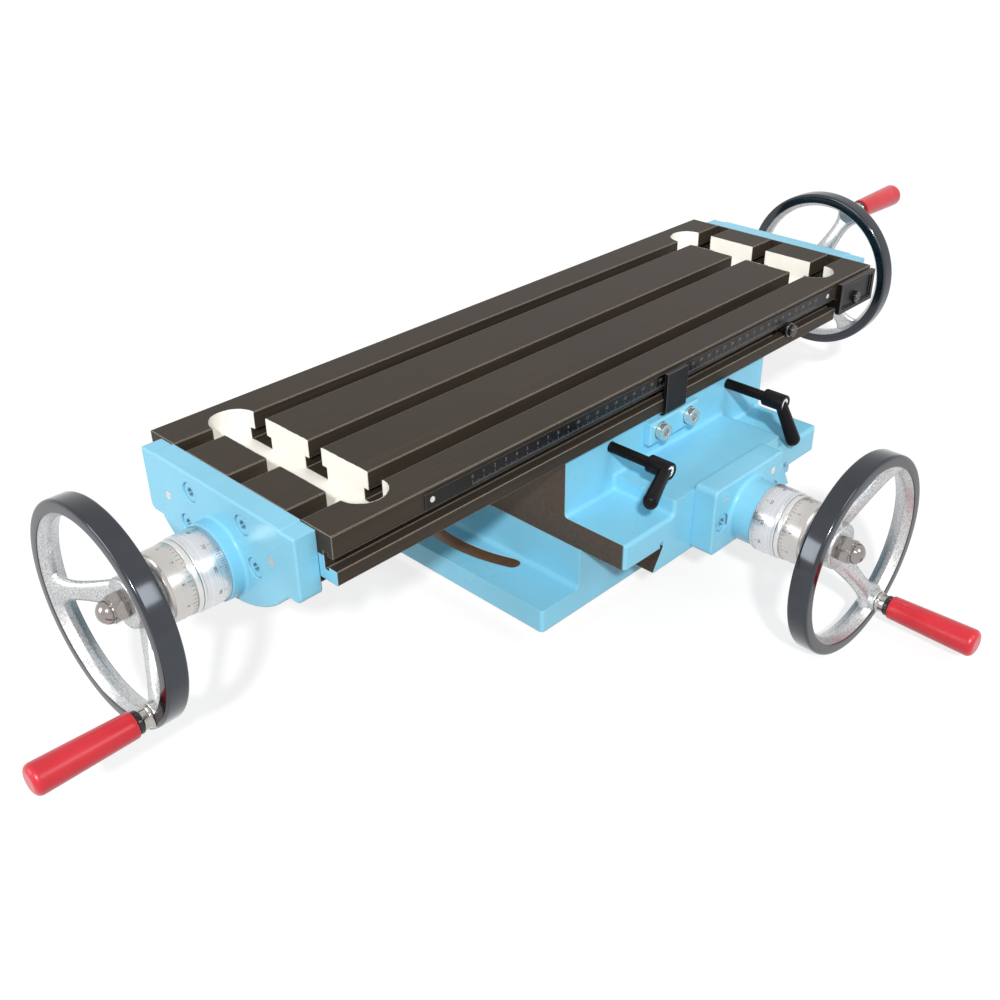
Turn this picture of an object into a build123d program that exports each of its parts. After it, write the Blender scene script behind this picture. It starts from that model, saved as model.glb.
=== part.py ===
from build123d import *
from math import cos, radians, sin, tan
import os

# A cross slide table for a milling or drilling machine. The base is bolted down, the saddle
# slides on it along Y and the T-slot table slides on the saddle along X. All sizes are in
# millimetres. The origin is the centre of the base's underside, -Y is the operator's side.

# Ways
way_gap = 0.1
dovetail_angle = 60
gib_thickness = 6

# Base
base_half = 120
base_wing_half = 159
base_length = 220
wing_thickness = 18
wing_corner = 3
wing_root = 4
base_height = 52
floor_gap = 1
bolt_slot_radius = 139
bolt_slot_half_angle = 22
bolt_slot_width = 12
pocket_depth = 12
pocket_rib = 8
pocket_rim = 14
pocket_corner = 5
pocket_count_x = 4
pocket_count_y = 3

# Saddle
saddle_half = 120
saddle_front = -150
saddle_height = 65
ledge_thickness = 20
nose_half = 66
nose_height = 32
casting_round = 3
y_neck_half = 76.5
y_neck_relief = 4
y_tail_depth = 18
channel_corner = 3

# Table
table_length = 600
table_half = 95
table_thickness = 33
table_offset = -20
x_neck_half = 58
x_tail_depth = 16
slot_pitch = 60
slot_throat = 14
slot_head = 23
slot_head_height = 9
slot_depth = 22
edge_break = 0.5
trough_width = 32
trough_inset = 30
trough_half = 83

# Slot for the stops in the table's front face
stop_slot_drop = 19.5
stop_throat = 8
stop_lip = 5
stop_head = 13
stop_slot_depth = 9
lower_lip_step = 2
lip_opening = 57

# Scale
scale_length = 465
scale_height = 11
scale_drop = 3
scale_thickness = 1
scale_inset = 71
scale_margin = 6
scale_screw_radius = 2
scale_screw_length = 6

# Lead screws
screw_radius = 9
journal_radius = 8
shaft_radius = 7
stud_radius = 5
fit_gap = 0.05
x_axis_drop = 49
y_axis_height = 57.5
bush_radius = 12
collar_radius = 13
collar_length = 6

# Feed nuts
nut_half_width = 13
nut_half_length = 25
nut_cover = 15
nut_keel = 12
nut_round = 5
nut_foot_half = 24
nut_foot_height = 7
nut_screw_x = 17
nut_screw_y = 19
channel_gap = 3

# End plates
plate_thickness = 16
plate_half = 81
plate_drop = 1
plate_edge = 1
plate_shoulder = 47
plate_corner = 5
boss_root = 2
lobe_radius = 90
lobe_half = 67
lobe_drop = 78
boss_radius = 26.5
boss_length = 9.7
plate_upper_y = 28
plate_upper_drop = 14
plate_lower_y = 36.5
plate_lower_drop = 40.5
plate_dowel_y = 55.5
plate_dowel_drop = 27

# Front bearing bracket
bracket_half = 43
bracket_lift = 0.4
bracket_corner = 4
bracket_top = 88
bracket_thickness = 18
bracket_boss_radius = 24
bracket_boss_length = 18
bracket_boss_root = 3
bracket_screw_x = 32
bracket_dowel_x = 30
bracket_pattern_rise = 10
bracket_pattern_height = 17.4

# Dial, spacer ring and sleeve on each shaft end
dial_radius = 25.3
dial_length = 19.4
play = 0.2
ring_radius = 24.6
ring_length = 3.6
sleeve_radius = 24
sleeve_length = 16.4
sleeve_length_right = 4.4

# Handwheels
hub_radius = 17
hub_neck_radius = 13
hub_neck_length = 2.5
hub_length = 17.5
rim_radius = 75
rim_width = 12
rim_depth = 12
rim_rise = 6
rim_round = 2.5
rim_bevel = 4
spoke_flare = 8
spoke_hub_width = 20
spoke_rim_width = 13
spoke_thickness = 8
handle_circle = 65
handle_boss_radius = 8.5
key_size = 4
key_length = 12
cap_flats = 17
cap_hex_height = 9
cap_dome_radius = 8

# Handles
spindle_radius = 4
ferrule_radius = 7.5
ferrule_length = 10
ferrule_edge = 1.5
grip_gap = 0.3
grip_length = 64
grip_neck_radius = 8.6
grip_middle_radius = 9.6
grip_end_radius = 10
grip_end_round = 4
grip_bore_length = 56
left_handle_angle = 228
right_handle_angle = 112
front_handle_angle = 302

# Clamp levers
clamp_x = 71
clamp_drop = 41
clamp_stud_radius = 4
clamp_reach = 53
clamp_hub_length = 18
clamp_hub_radius = 6.5
arm_length = 31
arm_outward = 11
arm_root_radius = 4.5
arm_tip_radius = 5.5
arm_setback = 4
clamp_screw_head = 4.2
clamp_screw_height = 2
clamp_screw_sunk = 2.5
left_arm_angle = 194
right_arm_angle = 282

# Fixed stop on the saddle
foot_length = 58
foot_height = 18
foot_drop = 36
foot_depth = 6
foot_screw_pitch = 34
foot_screw_sunk = 2.5
foot_screw_clear = 4
blade_width = 24
blade_thickness = 3
blade_drop = 2
blade_gap = 1
blade_seat = 3
stop_x = -4

# Stops that slide on the table
block_length = 54
block_height = 27
block_thickness = 4
block_rim = 3
block_recess = 2
block_inset = 2
block_top_drop = 1.4
dog_radius = 6
dog_thickness = 2.4
dog_from_scale = 66
bolt_radius = 3
stop_bolt_half = 5.5
stop_bolt_end = 0.5
stop_nut_flats = 9
stop_nut_height = 3

# Socket screws: thread radius, head radius, head height, length under the head
m8 = (4, 6.5, 8, 25)
m6 = (3, 5, 6, 14)
thread_gap = 0.1
head_gap = 0.5
dowel_radius = 3
dowel_length = 24
gib_screw_radius = 3
gib_screw_head = 6.5
gib_screw_head_height = 4

# Heights and places that follow from the sizes above
slope = 1 / tan(radians(dovetail_angle))
flank = 1 / sin(radians(dovetail_angle))
wall_half = table_half
saddle_back = table_half
saddle_bottom = base_height + way_gap
saddle_top = saddle_bottom + saddle_height
table_bottom = saddle_top + way_gap
table_top = table_bottom + table_thickness
y_tail = saddle_bottom - y_tail_depth
y_floor = y_tail - floor_gap
x_tail = table_bottom - x_tail_depth
x_floor = x_tail - floor_gap
x_axis_height = table_top - x_axis_drop
table_left = table_offset - table_length / 2
table_right = table_offset + table_length / 2
bracket_front = saddle_front - bracket_thickness
bracket_bottom = y_tail + bracket_lift
bracket_middle = y_axis_height + bracket_pattern_rise
stop_slot_height = table_top - stop_slot_drop
slot_floor = table_top - slot_depth
lip_front = -table_half - lower_lip_step
blade_back = lip_front - blade_gap
foot_front = -wall_half - foot_depth
foot_top = table_top - foot_drop
foot_bottom = foot_top - foot_height
scale_right = table_left + scale_inset + scale_length
dog_x = scale_right - dog_from_scale
dog_back = lip_front - 2 * way_gap
dog_front = dog_back - dog_thickness
block_x = table_right - block_inset - block_length / 2
block_back = lip_front - 2 * way_gap
block_front = block_back - block_thickness


def box(x0, x1, y0, y1, z0, z1):
    """A block between two corners."""
    return Pos((x0 + x1) / 2, (y0 + y1) / 2, (z0 + z1) / 2) * Box(x1 - x0, y1 - y0, z1 - z0)


def rod(start, direction, radius, length):
    """A cylinder from a start point along a direction."""
    lying = Plane(origin=start, z_dir=direction)
    return lying * extrude(Circle(radius), length)


def along_x(points, x0, x1):
    """A profile of (y, z) points drawn out from x0 to x1."""
    face = make_face(Polyline(*[(x0, y, z) for y, z in points], close=True))
    return extrude(face, x1 - x0, dir=(1, 0, 0))


def along_y(points, y0, y1):
    """A profile of (x, z) points drawn out from y0 to y1."""
    face = make_face(Polyline(*[(x, y0, z) for x, z in points], close=True))
    return extrude(face, y1 - y0, dir=(0, 1, 0))


def turned(points):
    """A profile of (radius, height) points turned about the Z axis."""
    return revolve(make_face(Polyline(*[(r, 0, z) for r, z in points], close=True)), Axis.Z)


def socket_screw(size, start, direction, grip=None):
    """A socket head screw: start is the seat under its head, direction points into the work."""
    radius, head_radius, head_height, length = size
    length = grip or length
    lying = Plane(origin=start, z_dir=direction)
    head = extrude(Circle(head_radius), -head_height)
    socket = Pos(0, 0, -head_height) * extrude(RegularPolygon(radius * 0.85, 6), head_height * 0.6)
    return lying * (head + extrude(Circle(radius), length) - socket)


def screw_hole(size, start, direction, grip=None, sunk=False):
    """The hole for that screw, with a counterbore where its head is sunk."""
    radius, head_radius, head_height, length = size
    length = (grip or length) + 2
    hole = rod(start, direction, radius + thread_gap, length)
    if sunk:
        outward = tuple(-d for d in direction)
        hole += rod(start, outward, head_radius + head_gap, head_height + 1)
    return hole


def y_half(z):
    """Half width of the saddle's dovetail at height z."""
    return y_neck_half + (saddle_bottom - z) * slope


def x_half(z):
    """Half width of the table's dovetail at height z."""
    return x_neck_half + (table_bottom - z) * slope


plain_side = way_gap * flank
gib_side = (way_gap + gib_thickness) * flank


# Base

def make_base():
    """The base casting: a body with the dovetail slot, and a bolting wing on each side."""
    outline = [
        (-base_wing_half, 0),
        (base_wing_half, 0),
        (base_wing_half, wing_thickness),
        (base_half, wing_thickness),
        (base_half, base_height),
        (y_half(base_height) + gib_side, base_height),
        (y_half(y_floor) + gib_side, y_floor),
        (-y_half(y_floor) - plain_side, y_floor),
        (-y_half(base_height) - plain_side, base_height),
        (-base_half, base_height),
        (-base_half, wing_thickness),
        (-base_wing_half, wing_thickness),
    ]
    half = base_length / 2
    base = along_y(outline, -half, half)
    corners = base.edges().filter_by(Axis.Z).group_by(SortBy.LENGTH)[0]
    base = fillet(corners.filter_by(lambda e: abs(e.center().X) > base_half + 1), wing_corner)
    inner = base.edges().filter_by(Axis.Y).filter_by(
        lambda e: abs(abs(e.center().X) - base_half) < 0.1 and abs(e.center().Z - wing_thickness) < 0.1)
    base = fillet(inner, wing_root)
    for side in (0, 180):
        arc = CenterArc((0, 0), bolt_slot_radius, side - bolt_slot_half_angle, 2 * bolt_slot_half_angle)
        base -= extrude(SlotArc(arc, bolt_slot_width), wing_thickness)
    base -= casting_pockets()
    for x, y in nut_screw_places(nut_screw_y, nut_screw_x):
        base -= screw_hole(m6, (x, y, y_floor + nut_foot_height), (0, 0, -1))
    for place, direction in y_gib_screw_places():
        base -= rod(place, direction, gib_screw_radius + thread_gap, m6[3] + 1)
    return base


def casting_pockets():
    """The hollows under the base between its ribs."""
    columns, rows = round(pocket_count_x), round(pocket_count_y)
    step_x = (2 * (base_half - pocket_rim) + pocket_rib) / columns
    step_y = (base_length - 2 * pocket_rim + pocket_rib) / rows
    outline = RectangleRounded(step_x - pocket_rib, step_y - pocket_rib, pocket_corner)
    pocket = extrude(outline, pocket_depth)
    return [place * pocket for place in GridLocations(step_x, step_y, columns, rows)]


def make_y_gib():
    """The flat strip that takes up the play on the right flank of the base's slot."""
    low, high = y_floor + 0.5, base_height - 1
    section = [
        (y_half(low) + plain_side, low),
        (y_half(low) + gib_side, low),
        (y_half(high) + gib_side, high),
        (y_half(high) + plain_side, high),
    ]
    return along_y(section, -base_length / 2, base_length / 2)


def y_gib_screw_places():
    """Where the two screws that hold the base's gib endwise sit on the base's end faces."""
    z = (y_floor + base_height) / 2
    x = y_half(z) + gib_side + gib_screw_radius + 1
    half = base_length / 2
    return [((x, -half, z), (0, 1, 0)), ((x, half, z), (0, -1, 0))]


def make_gib_screws(places):
    """Cheese head screws whose heads lap over the gib's ends, with a slot across each head."""
    screws = []
    for place, direction in places:
        lying = Plane(origin=place, z_dir=direction)
        head = extrude(Circle(gib_screw_head), -gib_screw_head_height)
        cut = Pos(0, 0, -gib_screw_head_height) * Box(2 * gib_screw_head, 1.6, 3)
        screws.append(lying * (head + extrude(Circle(gib_screw_radius), m6[3]) - cut))
    return screws


# Feed nuts

def nut_screw_places(x, y):
    """The four corners where a feed nut's foot is screwed down."""
    return [(i * x, j * y) for i in (-1, 1) for j in (-1, 1)]


def make_feed_nut(foot_level, axis_level, bottom_level):
    """A bronze nut on a foot: its bore runs along X, and screws hold the foot down."""
    top = axis_level + nut_cover
    section = [
        (-nut_half_width, bottom_level),
        (nut_half_width, bottom_level),
        (nut_half_width, foot_level),
        (nut_foot_half, foot_level),
        (nut_foot_half, foot_level + nut_foot_height),
        (nut_half_width, foot_level + nut_foot_height),
        (nut_half_width, top),
        (-nut_half_width, top),
        (-nut_half_width, foot_level + nut_foot_height),
        (-nut_foot_half, foot_level + nut_foot_height),
        (-nut_foot_half, foot_level),
        (-nut_half_width, foot_level),
    ]
    if bottom_level == foot_level:
        section = section[3:-1]
    nut = along_x(section, -nut_half_length, nut_half_length)
    top_edges = nut.edges().filter_by(Axis.X).group_by(Axis.Z)[-1]
    nut = fillet(top_edges, nut_round)
    nut -= rod((-nut_half_length, 0, axis_level), (1, 0, 0), screw_radius + fit_gap, 2 * nut_half_length)
    for x, y in nut_screw_places(nut_screw_x, nut_screw_y):
        nut -= screw_hole(m6, (x, y, foot_level + nut_foot_height), (0, 0, -1))
    return nut


def make_y_feed_nut():
    """The base's nut, turned so that its bore runs along Y."""
    return Rot(0, 0, 90) * make_feed_nut(y_floor, y_axis_height, y_floor)


def make_x_feed_nut():
    """The saddle's nut, let into the channel under the lead screw."""
    return make_feed_nut(x_floor, x_axis_height, x_floor - nut_keel)


def make_nut_screws(x, y, level):
    """The four socket screws of one feed nut."""
    return [socket_screw(m6, (i, j, level + nut_foot_height), (0, 0, -1))
            for i, j in nut_screw_places(x, y)]


# Saddle

def make_saddle():
    """The saddle casting: a block with the table's dovetail slot on a plate with a dovetail below."""
    upper = [
        (-wall_half, saddle_bottom),
        (saddle_back, saddle_bottom),
        (saddle_back, saddle_top),
        (x_half(saddle_top) + plain_side, saddle_top),
        (x_half(x_floor) + plain_side, x_floor),
        (-x_half(x_floor) - gib_side, x_floor),
        (-x_half(saddle_top) - gib_side, saddle_top),
        (-wall_half, saddle_top),
    ]
    saddle = along_x(upper, -saddle_half, saddle_half)
    ledge_top = saddle_bottom + ledge_thickness
    saddle += box(-saddle_half, saddle_half, saddle_front, -wall_half, saddle_bottom, ledge_top)
    nose_top = saddle_bottom + nose_height
    saddle += box(-nose_half, nose_half, saddle_front, -wall_half, ledge_top, nose_top)
    tail = [
        (-y_neck_half, saddle_bottom),
        (y_neck_half, saddle_bottom),
        (y_half(y_tail), y_tail),
        (-y_half(y_tail), y_tail),
    ]
    saddle += along_y(tail, saddle_front, saddle_back)
    saddle = soften_saddle(saddle, ledge_top, nose_top)
    for side in (-1, 1):
        saddle -= box(*sorted((side * y_neck_half, side * (y_neck_half + y_neck_relief))),
                      saddle_front, saddle_back, saddle_bottom, saddle_bottom + y_neck_relief)
    saddle -= y_screw_channel()
    saddle -= x_screw_channel()
    saddle -= saddle_holes()
    return saddle


def soften_saddle(saddle, ledge_top, nose_top):
    """Round the feet of the wall and nose, and the outer corners of ledge and nose."""
    feet = saddle.edges().filter_by(lambda e: is_foot(e, ledge_top, nose_top))
    saddle = fillet(feet, casting_round)
    corners = saddle.edges().filter_by(Axis.Z).filter_by(
        lambda e: abs(e.center().Y - saddle_front) < 0.1 and e.center().Z > saddle_bottom)
    saddle = fillet(corners, casting_round)
    return saddle


def is_foot(edge, ledge_top, nose_top):
    """Whether an edge is an inner corner where the wall or the nose rises."""
    x, y, z = abs(edge.center().X), edge.center().Y, edge.center().Z
    if edge.geom_type != GeomType.LINE:
        return False
    at_wall = abs(y + wall_half) < 0.1
    wall_foot = at_wall and abs(z - ledge_top) < 0.1 and nose_half < x
    nose_back = at_wall and abs(z - nose_top) < 0.1 and x < 1
    nose_side = abs(x - nose_half) < 0.1 and abs(z - ledge_top) < 0.1 and y < -wall_half - 1
    nose_corner = at_wall and abs(x - nose_half) < 0.1 and ledge_top < z < nose_top
    return wall_foot or nose_back or nose_side or nose_corner


def y_screw_channel():
    """The stepped channel along the saddle's underside for the front lead screw and its nut."""
    foot_top = y_floor + nut_foot_height + m6[2] + channel_gap
    wide = nut_foot_half + channel_gap + 1
    narrow = nut_half_width + channel_gap
    top = y_axis_height + nut_cover + channel_gap
    channel = box(-wide, wide, saddle_front, saddle_back, y_tail, foot_top)
    return channel + box(-narrow, narrow, saddle_front, saddle_back, foot_top, top)


def x_screw_channel():
    """The round-bottomed channel across the saddle for the table's lead screw."""
    narrow = nut_half_width + way_gap
    deep = x_floor - nut_keel - 0.5
    channel = box(-saddle_half, saddle_half, -narrow, narrow, deep, x_floor)
    bottom = channel.edges().filter_by(Axis.X).group_by(Axis.Z)[0]
    keel_room = box(-nut_half_length, nut_half_length, -narrow, narrow, deep, x_floor)
    return fillet(bottom, channel_corner) + keel_room


def saddle_holes():
    """All screw, dowel and clamp holes of the saddle."""
    holes = []
    for side in (-1, 1):
        start = (side * clamp_x, -wall_half, table_top - clamp_drop)
        holes.append(rod(start, (0, 1, 0), clamp_stud_radius + thread_gap, wall_half - x_neck_half))
        holes.append(screw_hole(m8, stop_screw_place(side), (0, 1, 0), foot_screw_grip()))
        holes.append(screw_hole(m8, bracket_screw_place(side), (0, 1, 0)))
        holes.append(rod(bracket_dowel_place(side), (0, 1, 0), dowel_radius, dowel_length))
    for x, y in nut_screw_places(nut_screw_x, nut_screw_y):
        holes.append(screw_hole(m6, (x, y, x_floor + nut_foot_height), (0, 0, -1)))
    for place, direction in x_gib_screw_places():
        holes.append(rod(place, direction, gib_screw_radius + thread_gap, m6[3] + 1))
    return holes


def make_x_gib():
    """The strip on the front flank of the saddle's slot; the clamp studs press on it."""
    low, high = x_floor + 0.5, saddle_top - 1
    section = [
        (-x_half(low) - plain_side, low),
        (-x_half(low) - gib_side, low),
        (-x_half(high) - gib_side, high),
        (-x_half(high) - plain_side, high),
    ]
    return along_x(section, -saddle_half, saddle_half)


def x_gib_screw_places():
    """Where the two screws that hold the saddle's gib endwise sit on the saddle's side faces."""
    z = (x_floor + saddle_top) / 2
    y = -x_half(z) - gib_side - gib_screw_radius - 1
    return [((-saddle_half, y, z), (1, 0, 0)), ((saddle_half, y, z), (-1, 0, 0))]


# Front bearing bracket

def bracket_screw_place(side):
    """The seat of a bracket screw's head."""
    z = bracket_middle - bracket_pattern_height / 2
    return (side * bracket_screw_x, bracket_front + m8[2] + 1, z)


def bracket_dowel_place(side):
    """The outer end of a bracket dowel."""
    z = bracket_middle + bracket_pattern_height / 2
    return (side * bracket_dowel_x, bracket_front, z)


def make_bracket():
    """The flange with the round boss that carries the front lead screw."""
    middle = (bracket_bottom + bracket_top) / 2
    flat = Plane(origin=(0, saddle_front, middle), x_dir=(1, 0, 0), z_dir=(0, -1, 0))
    outline = RectangleRounded(2 * bracket_half, bracket_top - bracket_bottom, bracket_corner)
    bracket = flat * extrude(outline, bracket_thickness)
    bracket = chamfer(bracket.faces().sort_by(Axis.Y)[0].edges(), plate_edge)
    length = bracket_thickness + bracket_boss_length
    bracket += rod((0, saddle_front, y_axis_height), (0, -1, 0), bracket_boss_radius, length)
    root = bracket.edges().filter_by(GeomType.CIRCLE).filter_by(
        lambda e: abs(e.center().Y - bracket_front) < 0.1 and abs(e.radius - bracket_boss_radius) < 0.1)
    bracket = fillet(root, bracket_boss_root)
    bracket -= rod((0, saddle_front, y_axis_height), (0, -1, 0), bush_radius, length)
    for side in (-1, 1):
        bracket -= screw_hole(m8, bracket_screw_place(side), (0, 1, 0), sunk=True)
        bracket -= rod(bracket_dowel_place(side), (0, 1, 0), dowel_radius, bracket_thickness)
    return bracket


def make_bracket_screws():
    """The bracket's two socket screws."""
    return [socket_screw(m8, bracket_screw_place(side), (0, 1, 0)) for side in (-1, 1)]


def make_bracket_dowels():
    """The bracket's two dowels."""
    radius = dowel_radius - fit_gap
    return [rod(bracket_dowel_place(side), (0, 1, 0), radius, dowel_length - 1) for side in (-1, 1)]


# Table

def make_table():
    """The T-slot table with its dovetail below, end troughs and the stops' slot in front."""
    bottom = stop_slot_height - stop_throat / 2
    outline = [
        (-table_half - lower_lip_step, table_bottom),
        (-x_neck_half, table_bottom),
        (-x_half(x_tail), x_tail),
        (x_half(x_tail), x_tail),
        (x_neck_half, table_bottom),
        (table_half, table_bottom),
        (table_half, table_top - edge_break),
        (table_half - edge_break, table_top),
        (-table_half + edge_break, table_top),
        (-table_half, table_top - edge_break),
        (-table_half, bottom),
        (-table_half - lower_lip_step, bottom),
    ]
    table = along_x(outline, table_left, table_right)
    for row in (-1, 0, 1):
        table -= Pos(0, row * slot_pitch, 0) * t_slot()
    table -= stop_slot()
    for x in (table_left + trough_inset, table_right - trough_inset - trough_width):
        trough = Rot(0, 0, 90) * SlotOverall(2 * trough_half, trough_width)
        table -= Pos(x + trough_width / 2, 0, slot_floor) * extrude(trough, slot_depth)
    table -= table_screw_channel()
    for place in scale_screw_places():
        table -= rod(place, (0, 1, 0), scale_screw_radius + thread_gap, scale_screw_length + 1)
    for direction, face in ((1, table_left), (-1, table_right)):
        table -= plate_holes(face, direction)
    return table


def t_slot():
    """One T-slot along the table, with broken edges at its mouth."""
    throat = slot_throat / 2
    head = slot_head / 2
    head_top = slot_floor + slot_head_height
    section = [
        (-head, slot_floor),
        (head, slot_floor),
        (head, head_top),
        (throat, head_top),
        (throat, table_top - edge_break),
        (throat + edge_break, table_top),
        (-throat - edge_break, table_top),
        (-throat, table_top - edge_break),
        (-throat, head_top),
        (-head, head_top),
    ]
    return along_x(section, table_left, table_right)


def stop_slot():
    """The small T-slot in the front face that holds the sliding stops."""
    face = -table_half - lower_lip_step
    lip = -table_half + stop_lip
    back = -table_half + stop_slot_depth
    throat = box(table_left, table_right, face, lip, stop_slot_height - stop_throat / 2,
                 stop_slot_height + stop_throat / 2)
    head = box(table_left, table_right, lip, back, stop_slot_height - stop_head / 2,
               stop_slot_height + stop_head / 2)
    opening = box(table_right - lip_opening, table_right, face, lip, table_bottom, stop_slot_height)
    return throat + head + opening


def table_screw_channel():
    """The channel under the table that clears the lead screw and the saddle's nut."""
    wide = nut_foot_half + channel_gap
    top = x_axis_height + nut_cover + channel_gap
    return box(table_left, table_right, -wide, wide, x_tail, top)


# End plates

def plate_screw_places(face, outward):
    """The seats of an end plate's four screw heads, on the plate whose outer side is at face."""
    seat = face - outward * (m8[2] + 1)
    places = []
    for y, drop in ((plate_upper_y, plate_upper_drop), (plate_lower_y, plate_lower_drop)):
        places += [(seat, -y, table_top - drop), (seat, y, table_top - drop)]
    return places


def plate_dowel_places(face):
    """The outer ends of an end plate's two dowels."""
    z = table_top - plate_dowel_drop
    return [(face, -plate_dowel_y, z), (face, plate_dowel_y, z)]


def plate_holes(face, direction):
    """Screw and dowel holes in one end of the table; direction points into the table."""
    outer = face - direction * plate_thickness
    holes = [screw_hole(m8, place, (direction, 0, 0)) for place in plate_screw_places(outer, -direction)]
    for place in plate_dowel_places(outer):
        holes.append(rod(place, (direction, 0, 0), dowel_radius, dowel_length))
    return holes


def make_end_plate(face, outward):
    """An end plate: wide at the top, a round lobe below, and a boss for the lead screw's bush."""
    top = table_top - plate_drop
    shoulder = table_top - plate_shoulder
    lobe_centre = table_top - lobe_drop + lobe_radius
    lying = Plane(origin=(face, 0, 0), x_dir=(0, 1, 0), z_dir=(1, 0, 0))
    upper = Pos(0, (top + shoulder) / 2) * Rectangle(2 * plate_half, top - shoulder)
    upper = fillet(upper.vertices().group_by(Axis.Y)[0], plate_corner)
    lobe = Pos(0, lobe_centre) * Circle(lobe_radius)
    lobe &= Pos(0, shoulder) * Rectangle(2 * lobe_half, 2 * plate_shoulder)
    outline = upper + lobe
    plate = lying * extrude(outline, outward * plate_thickness)
    outer_face = plate.faces().sort_by(Axis.X)[-1 if outward > 0 else 0]
    plate = chamfer(outer_face.edges(), plate_edge)
    axis = (face, 0, x_axis_height)
    length = plate_thickness + boss_length
    plate += rod(axis, (outward, 0, 0), boss_radius, length)
    root = plate.edges().filter_by(GeomType.CIRCLE).filter_by(
        lambda e: abs(e.center().X - face - outward * plate_thickness) < 0.1
        and abs(e.radius - boss_radius) < 0.1)
    plate = fillet(root, boss_root)
    plate -= rod(axis, (outward, 0, 0), bush_radius, length)
    outer = face + outward * plate_thickness
    for place in plate_screw_places(outer, outward):
        plate -= screw_hole(m8, place, (-outward, 0, 0), sunk=True)
    for place in plate_dowel_places(outer):
        plate -= rod(place, (-outward, 0, 0), dowel_radius, plate_thickness)
    return plate


def make_plate_screws():
    """The eight socket screws of both end plates."""
    screws = []
    for face, outward in ((table_left, -1), (table_right, 1)):
        for place in plate_screw_places(face + outward * plate_thickness, outward):
            screws.append(socket_screw(m8, place, (-outward, 0, 0)))
    return screws


def make_plate_dowels():
    """The four dowels of both end plates."""
    dowels = []
    for face, outward in ((table_left, -1), (table_right, 1)):
        for place in plate_dowel_places(face + outward * plate_thickness):
            dowels.append(rod(place, (-outward, 0, 0), dowel_radius - fit_gap, dowel_length - 1))
    return dowels


# Scale

def make_scale():
    """The scale strip on the table's front face."""
    left = table_left + scale_inset
    high = table_top - scale_drop
    strip = box(left, left + scale_length, -table_half - scale_thickness, -table_half,
                high - scale_height, high)
    for place in scale_screw_places():
        strip -= rod(place, (0, 1, 0), scale_screw_radius + thread_gap, scale_thickness)
    return strip


def scale_screw_places():
    """Points on the strip's front face at its two end screws."""
    left = table_left + scale_inset
    z = table_top - scale_drop - scale_height / 2
    y = -table_half - scale_thickness
    return [(left + scale_margin, y, z), (left + scale_length - scale_margin, y, z)]


def make_scale_screws():
    """Two small screws, flush with the strip."""
    return [rod(place, (0, 1, 0), scale_screw_radius, scale_screw_length) for place in scale_screw_places()]


# Lead screws and what turns with them. The shaft ends are drawn along Z from the boss face.

def shaft_end(sleeve):
    """Heights above the boss face where the ring, sleeve, hub, rim and nut begin."""
    ring = dial_length + 2 * play
    sleeve_start = ring + ring_length
    neck = sleeve_start + sleeve
    hub = neck + hub_neck_length
    nut = hub + hub_length
    rim = nut + rim_rise
    return {"ring": ring, "sleeve": sleeve_start, "neck": neck, "hub": hub, "nut": nut, "rim": rim}


def screw_end(sleeve, bearing):
    """The stepped end of a lead screw: journal in the bush, shaft for the wheel, thread for the nut."""
    at = shaft_end(sleeve)
    end = extrude(Circle(journal_radius), -bearing)
    end += extrude(Circle(shaft_radius), at["nut"])
    end += Pos(0, 0, at["nut"]) * extrude(Circle(stud_radius), cap_hex_height + 2)
    return end - key_seat(at["hub"])


def key_seat(height):
    """The room for the key between shaft and hub."""
    start = height + 2
    return box(shaft_radius - key_size / 2, shaft_radius + key_size / 2,
               -key_size / 2, key_size / 2, start, start + key_length)


def make_key(sleeve):
    """A square key."""
    return key_seat(shaft_end(sleeve)["hub"])


def make_bush(bearing):
    """A plain bronze bush pressed into the boss."""
    return extrude(Circle(bush_radius - fit_gap) - Circle(journal_radius + fit_gap), -bearing)


def make_dial():
    """A graduated dial: a hollow drum that turns on the shaft, with a broken outer edge."""
    inner = shaft_radius + fit_gap
    start, end = play, play + dial_length
    return turned([
        (inner, start),
        (dial_radius - 1, start),
        (dial_radius, start + 1),
        (dial_radius, end - 1),
        (dial_radius - 1, end),
        (inner, end),
    ])


def make_ring():
    """The thin bright ring between dial and sleeve."""
    ring = extrude(Circle(ring_radius) - Circle(shaft_radius + fit_gap), ring_length)
    return Pos(0, 0, shaft_end(sleeve_length)["ring"]) * ring


def make_sleeve(sleeve):
    """The marked sleeve between ring and wheel."""
    start = shaft_end(sleeve)["sleeve"]
    inner = shaft_radius + fit_gap
    return turned([
        (inner, start),
        (sleeve_radius, start),
        (sleeve_radius, start + sleeve - 1.5),
        (sleeve_radius - 1.5, start + sleeve),
        (inner, start + sleeve),
    ])


def make_wheel(sleeve):
    """A dished handwheel: hub, three ridged spokes, a wide rim and the handle's boss."""
    at = shaft_end(sleeve)
    hub = turned([
        (0, at["neck"]),
        (hub_neck_radius, at["neck"]),
        (hub_neck_radius, at["hub"]),
        (hub_radius, at["hub"]),
        (hub_radius, at["nut"] - 1),
        (hub_radius - 1, at["nut"]),
        (0, at["nut"]),
    ])
    wheel = make_rim(at["rim"]) + hub
    for turn in (0, 120, 240):
        wheel += Rot(0, 0, turn) * make_spoke(at)
    boss = Pos(handle_circle, 0, at["rim"]) * extrude(Circle(handle_boss_radius), rim_width)
    wheel += boss & extrude(Circle(rim_radius - 1), at["rim"] + rim_width)
    wheel -= extrude(Circle(shaft_radius + fit_gap), at["nut"])
    wheel -= key_seat(at["hub"])
    wheel -= Pos(handle_circle, 0, at["rim"]) * extrude(Circle(spindle_radius + fit_gap), rim_width)
    return wheel


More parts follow.
